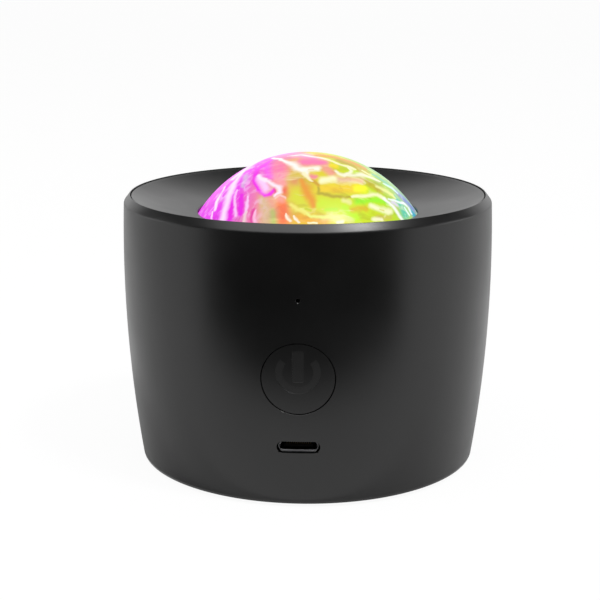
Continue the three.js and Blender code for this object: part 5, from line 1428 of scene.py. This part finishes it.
def glow():
    """Smooth plastic lit from inside by coloured light that ripples through a second dome."""
    material, tree, shader = node_tree("dome_glow")
    place = position(tree)
    parts = parts_of(tree, place)
    shivered = warped(tree, place, GLOW_SHIVER_SCALE, GLOW_SHIVER)
    front, strength = brought_forward(tree, shivered)
    front = flattened_output(tree, front)
    colour = sweep(tree, warped(tree, place, GLOW_DRIFT_SCALE, GLOW_DRIFT))
    colour = painted(tree, colour, front, GLOW_PATCHES, strength, *PATCH_EDGE)
    for lines, fade, tint in [
        (streaks(tree, place, *UPRIGHT_STREAKS), UPRIGHT_FADE, GLOW_LILAC),
        (streaks(tree, shivered, *LEVEL_STREAKS), LEVEL_FADE, GLOW_PALE),
    ]:
        share = math_node(tree, "MULTIPLY", lines, faded(tree, parts["X"], *fade))
        colour = mixed(tree, math_node(tree, "MULTIPLY", share, GLOW_STREAK), colour, tint)
    shade = math_node(tree, "MULTIPLY", streaks(tree, shivered, *SHADE_STREAKS), GLOW_SHADE)
    colour = mixed(tree, shade, colour, GLOW_DEEP, "MULTIPLY")
    colour = painted(tree, colour, front, GLOW_STROKES, strength, *STROKE_EDGE)
    hue = map_range(
        tree, parts["Y"], BACK_Y - BACK_SEAM, BACK_Y + 2 * BACK_SEAM, SAME_HUE, SAME_HUE + BACK_HUE_SHARE)
    turned = add_node(tree, "ShaderNodeHueSaturation", Color=colour, Saturation=GLOW_SATURATION, Hue=hue)
    # Painted shade: the glow fades out below the dish's inner edge, darkening the gap round the dome
    lit = faded(tree, parts["Z"], DISH_LOW_Z - DOME_GAP_SHADE, DISH_LOW_Z)
    set_inputs(
        tree, shader,
        Emission_Color=mixed(tree, lit, GLOW_BODY, turned.outputs[0]),
        Emission_Strength=1.0,
        Base_Color=(*GLOW_BODY, 1.0),
        Roughness=DOME_ROUGHNESS,
        Specular_IOR_Level=DOME_GLOSS)
    return material


def all_materials():
    """Every material, by its name in the record or in finish_piece."""
    made = {"dome_clear": glow()}
    for kind, rows in [
        (moulded, MOULDED), (metal, METALS), (circuit_board, BOARDS), (emitter, LIGHTS), (clear, CLEARS),
    ]:
        for name, values in rows.items():
            made[name] = kind(name, *values)
    return made


MATERIALS = all_materials()


def finish_piece(piece, material, body, slot, *replaced):
    piece.data.materials.clear()
    for name in material.split():
        piece.data.materials.append(MATERIALS[name])
    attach(piece, body)
    if replaced:
        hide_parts(*replaced)


def surroundings_share(tree):
    """One for rays that show the surroundings, straight or in a gloss, and nought for those that light."""
    rays = tree.nodes.new("ShaderNodeLightPath").outputs
    seen = math_node(tree, "MAXIMUM", rays["Is Camera Ray"], rays["Is Glossy Ray"])
    return math_node(tree, "MAXIMUM", seen, rays["Is Transmission Ray"])


def mixed_shaders(tree, share, first, second):
    """The first shader mixed towards the second by a share."""
    node = tree.nodes.new("ShaderNodeMixShader")
    for socket, source in zip(node.inputs, (share, first.outputs[0], second.outputs[0])):
        tree.links.new(source, socket)
    return node.outputs[0]


def world():
    surroundings = bpy.data.worlds.new("surroundings")
    surroundings.use_nodes = True
    tree = surroundings.node_tree
    tree.nodes.clear()
    light = add_node(tree, "ShaderNodeBackground", Color=WHITE, Strength=AMBIENT)
    backdrop = add_node(tree, "ShaderNodeBackground", Color=WHITE, Strength=1.0)
    both = mixed_shaders(tree, surroundings_share(tree), light, backdrop)
    add_node(tree, "ShaderNodeOutputWorld", Surface=both)
    bpy.context.scene.world = surroundings


def card(name, corners, material):
    """A flat card with one material."""
    plane = add_object(name, corners, [(0, 1, 2, 3)])
    plane.data.materials.append(material)
    return plane


def across(first, second):
    """The corners between two edges that lie across, each given as (half its width, y, z)."""
    corners = []
    for (half, y, z), sides in [(first, (-1, 1)), (second, (1, -1))]:
        corners += [(side * half, y, z) for side in sides]
    return corners


def along(first, second):
    """The corners between two edges that run to the back, each given as (x, z)."""
    corners = []
    for (x, z), ends in [(first, (FLAG_FRONT_Y, FLAG_BACK_Y)), (second, (FLAG_BACK_Y, FLAG_FRONT_Y))]:
        corners += [(x, y, z) for y in ends]
    return corners


def floor():
    material, tree, shader = node_tree("floor")
    set_inputs(tree, shader, Base_Color=FLOOR_COLOUR, Roughness=FLOOR_ROUGHNESS)
    backdrop = add_node(tree, "ShaderNodeEmission", Color=WHITE, Strength=1.0)
    share = math_node(tree, "MULTIPLY", surroundings_share(tree), FLOOR_GLOW)
    both = mixed_shaders(tree, share, shader, backdrop)
    set_inputs(tree, tree.nodes["Material Output"], Surface=both)
    half = FLOOR_SIZE / 2
    card("floor", across((half, -half, 0), (half, half, 0)), material)


def flag(name, shade, corners):
    """A card that only the gloss of the object shows, as a photographer sets it beside black things."""
    material, tree, shader = node_tree("flag_" + name)
    set_inputs(tree, shader, Base_Color=(shade, shade, shade, 1.0), Roughness=1.0, Specular_IOR_Level=0.0)
    plane = card("flag_" + name, corners, material)
    plane.visible_camera = False
    plane.visible_diffuse = False
    plane.visible_shadow = False
    plane.visible_transmission = False


def flags():
    for name, (shade, *edges) in FLAGS_ACROSS.items():
        flag(name, shade, across(*edges))
    for name, edges in FLAGS_ALONG.items():
        flag(name, FLAG_SHADE, along(*edges))


def softboxes():
    for name, (place, size, brightness) in SOFTBOXES.items():
        data = bpy.data.lights.new(name, "AREA")
        data.shape = "RECTANGLE"
        data.size, data.size_y = size
        data.energy = brightness * math.pi * data.size * data.size_y
        lamp = bpy.data.objects.new(name, data)
        lamp.location = place
        lamp.rotation_euler = (Vector(AIM) - lamp.location).to_track_quat("-Z", "Y").to_euler()
        lamp.visible_camera = False
        bpy.context.scene.collection.objects.link(lamp)


def object_pieces():
    shell = housing_shell()
    finish_piece(shell, "shell_black opening_black", "housing", "shell_black", "outer_shell")
    # The linings of the port's slot and pocket and of the button's bore get the painted shade black
    mark_faces(shell, in_opening)
    finish_piece(dish_ring(), "shell_black", "housing", "shell_black", "top_dish")
    finish_piece(glow_dome(), "dome_clear", "housing", "dome_clear", "dome_lens")
    cap = button_cap()
    finish_piece(cap, "button_black symbol_grey opening_black", "button", "button_black", "power_button")
    mark_faces(cap, on_symbol_floor)
    # The button's rounded edge and side get the painted shade black, so the gap round it shows as a dark
    # line
    mark_faces(cap, on_button_side, 2)
    finish_piece(port_sleeve(), "port_metal", "housing", "steel", "usb_shell")
    # The port's tongue gets the painted shade black rather than the plastic of its slot, as it lies in the
    # port's shade
    finish_piece(port_tongue(), "opening_black", "housing", "chip_black", "usb_tongue")
    finish_piece(port_contacts(), "gilt", "housing", "brass")
    finish_piece(cover_plate(), "shell_black", "housing", "shell_black", "bottom_cover")
    for name in numbered("foot", 4):
        finish_piece(foot_piece(name), "foot_rubber", "housing", "foot_rubber", name)
    for name in numbered("base_screw", 4):
        finish_piece(screw_piece(name), "black_steel", "housing", "black_steel", name)


def dress_nodes():
    """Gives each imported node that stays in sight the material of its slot."""
    for subpart in frame["record"]["subparts"]:
        node = frame["nodes"][subpart["node"]]
        for slot in node.material_slots:
            slot.material = MATERIALS[subpart["material_slot"]]


camera()
dress_nodes()
object_pieces()
world()
floor()
flags()
softboxes()
bpy.context.scene.view_settings.view_transform = "Standard"
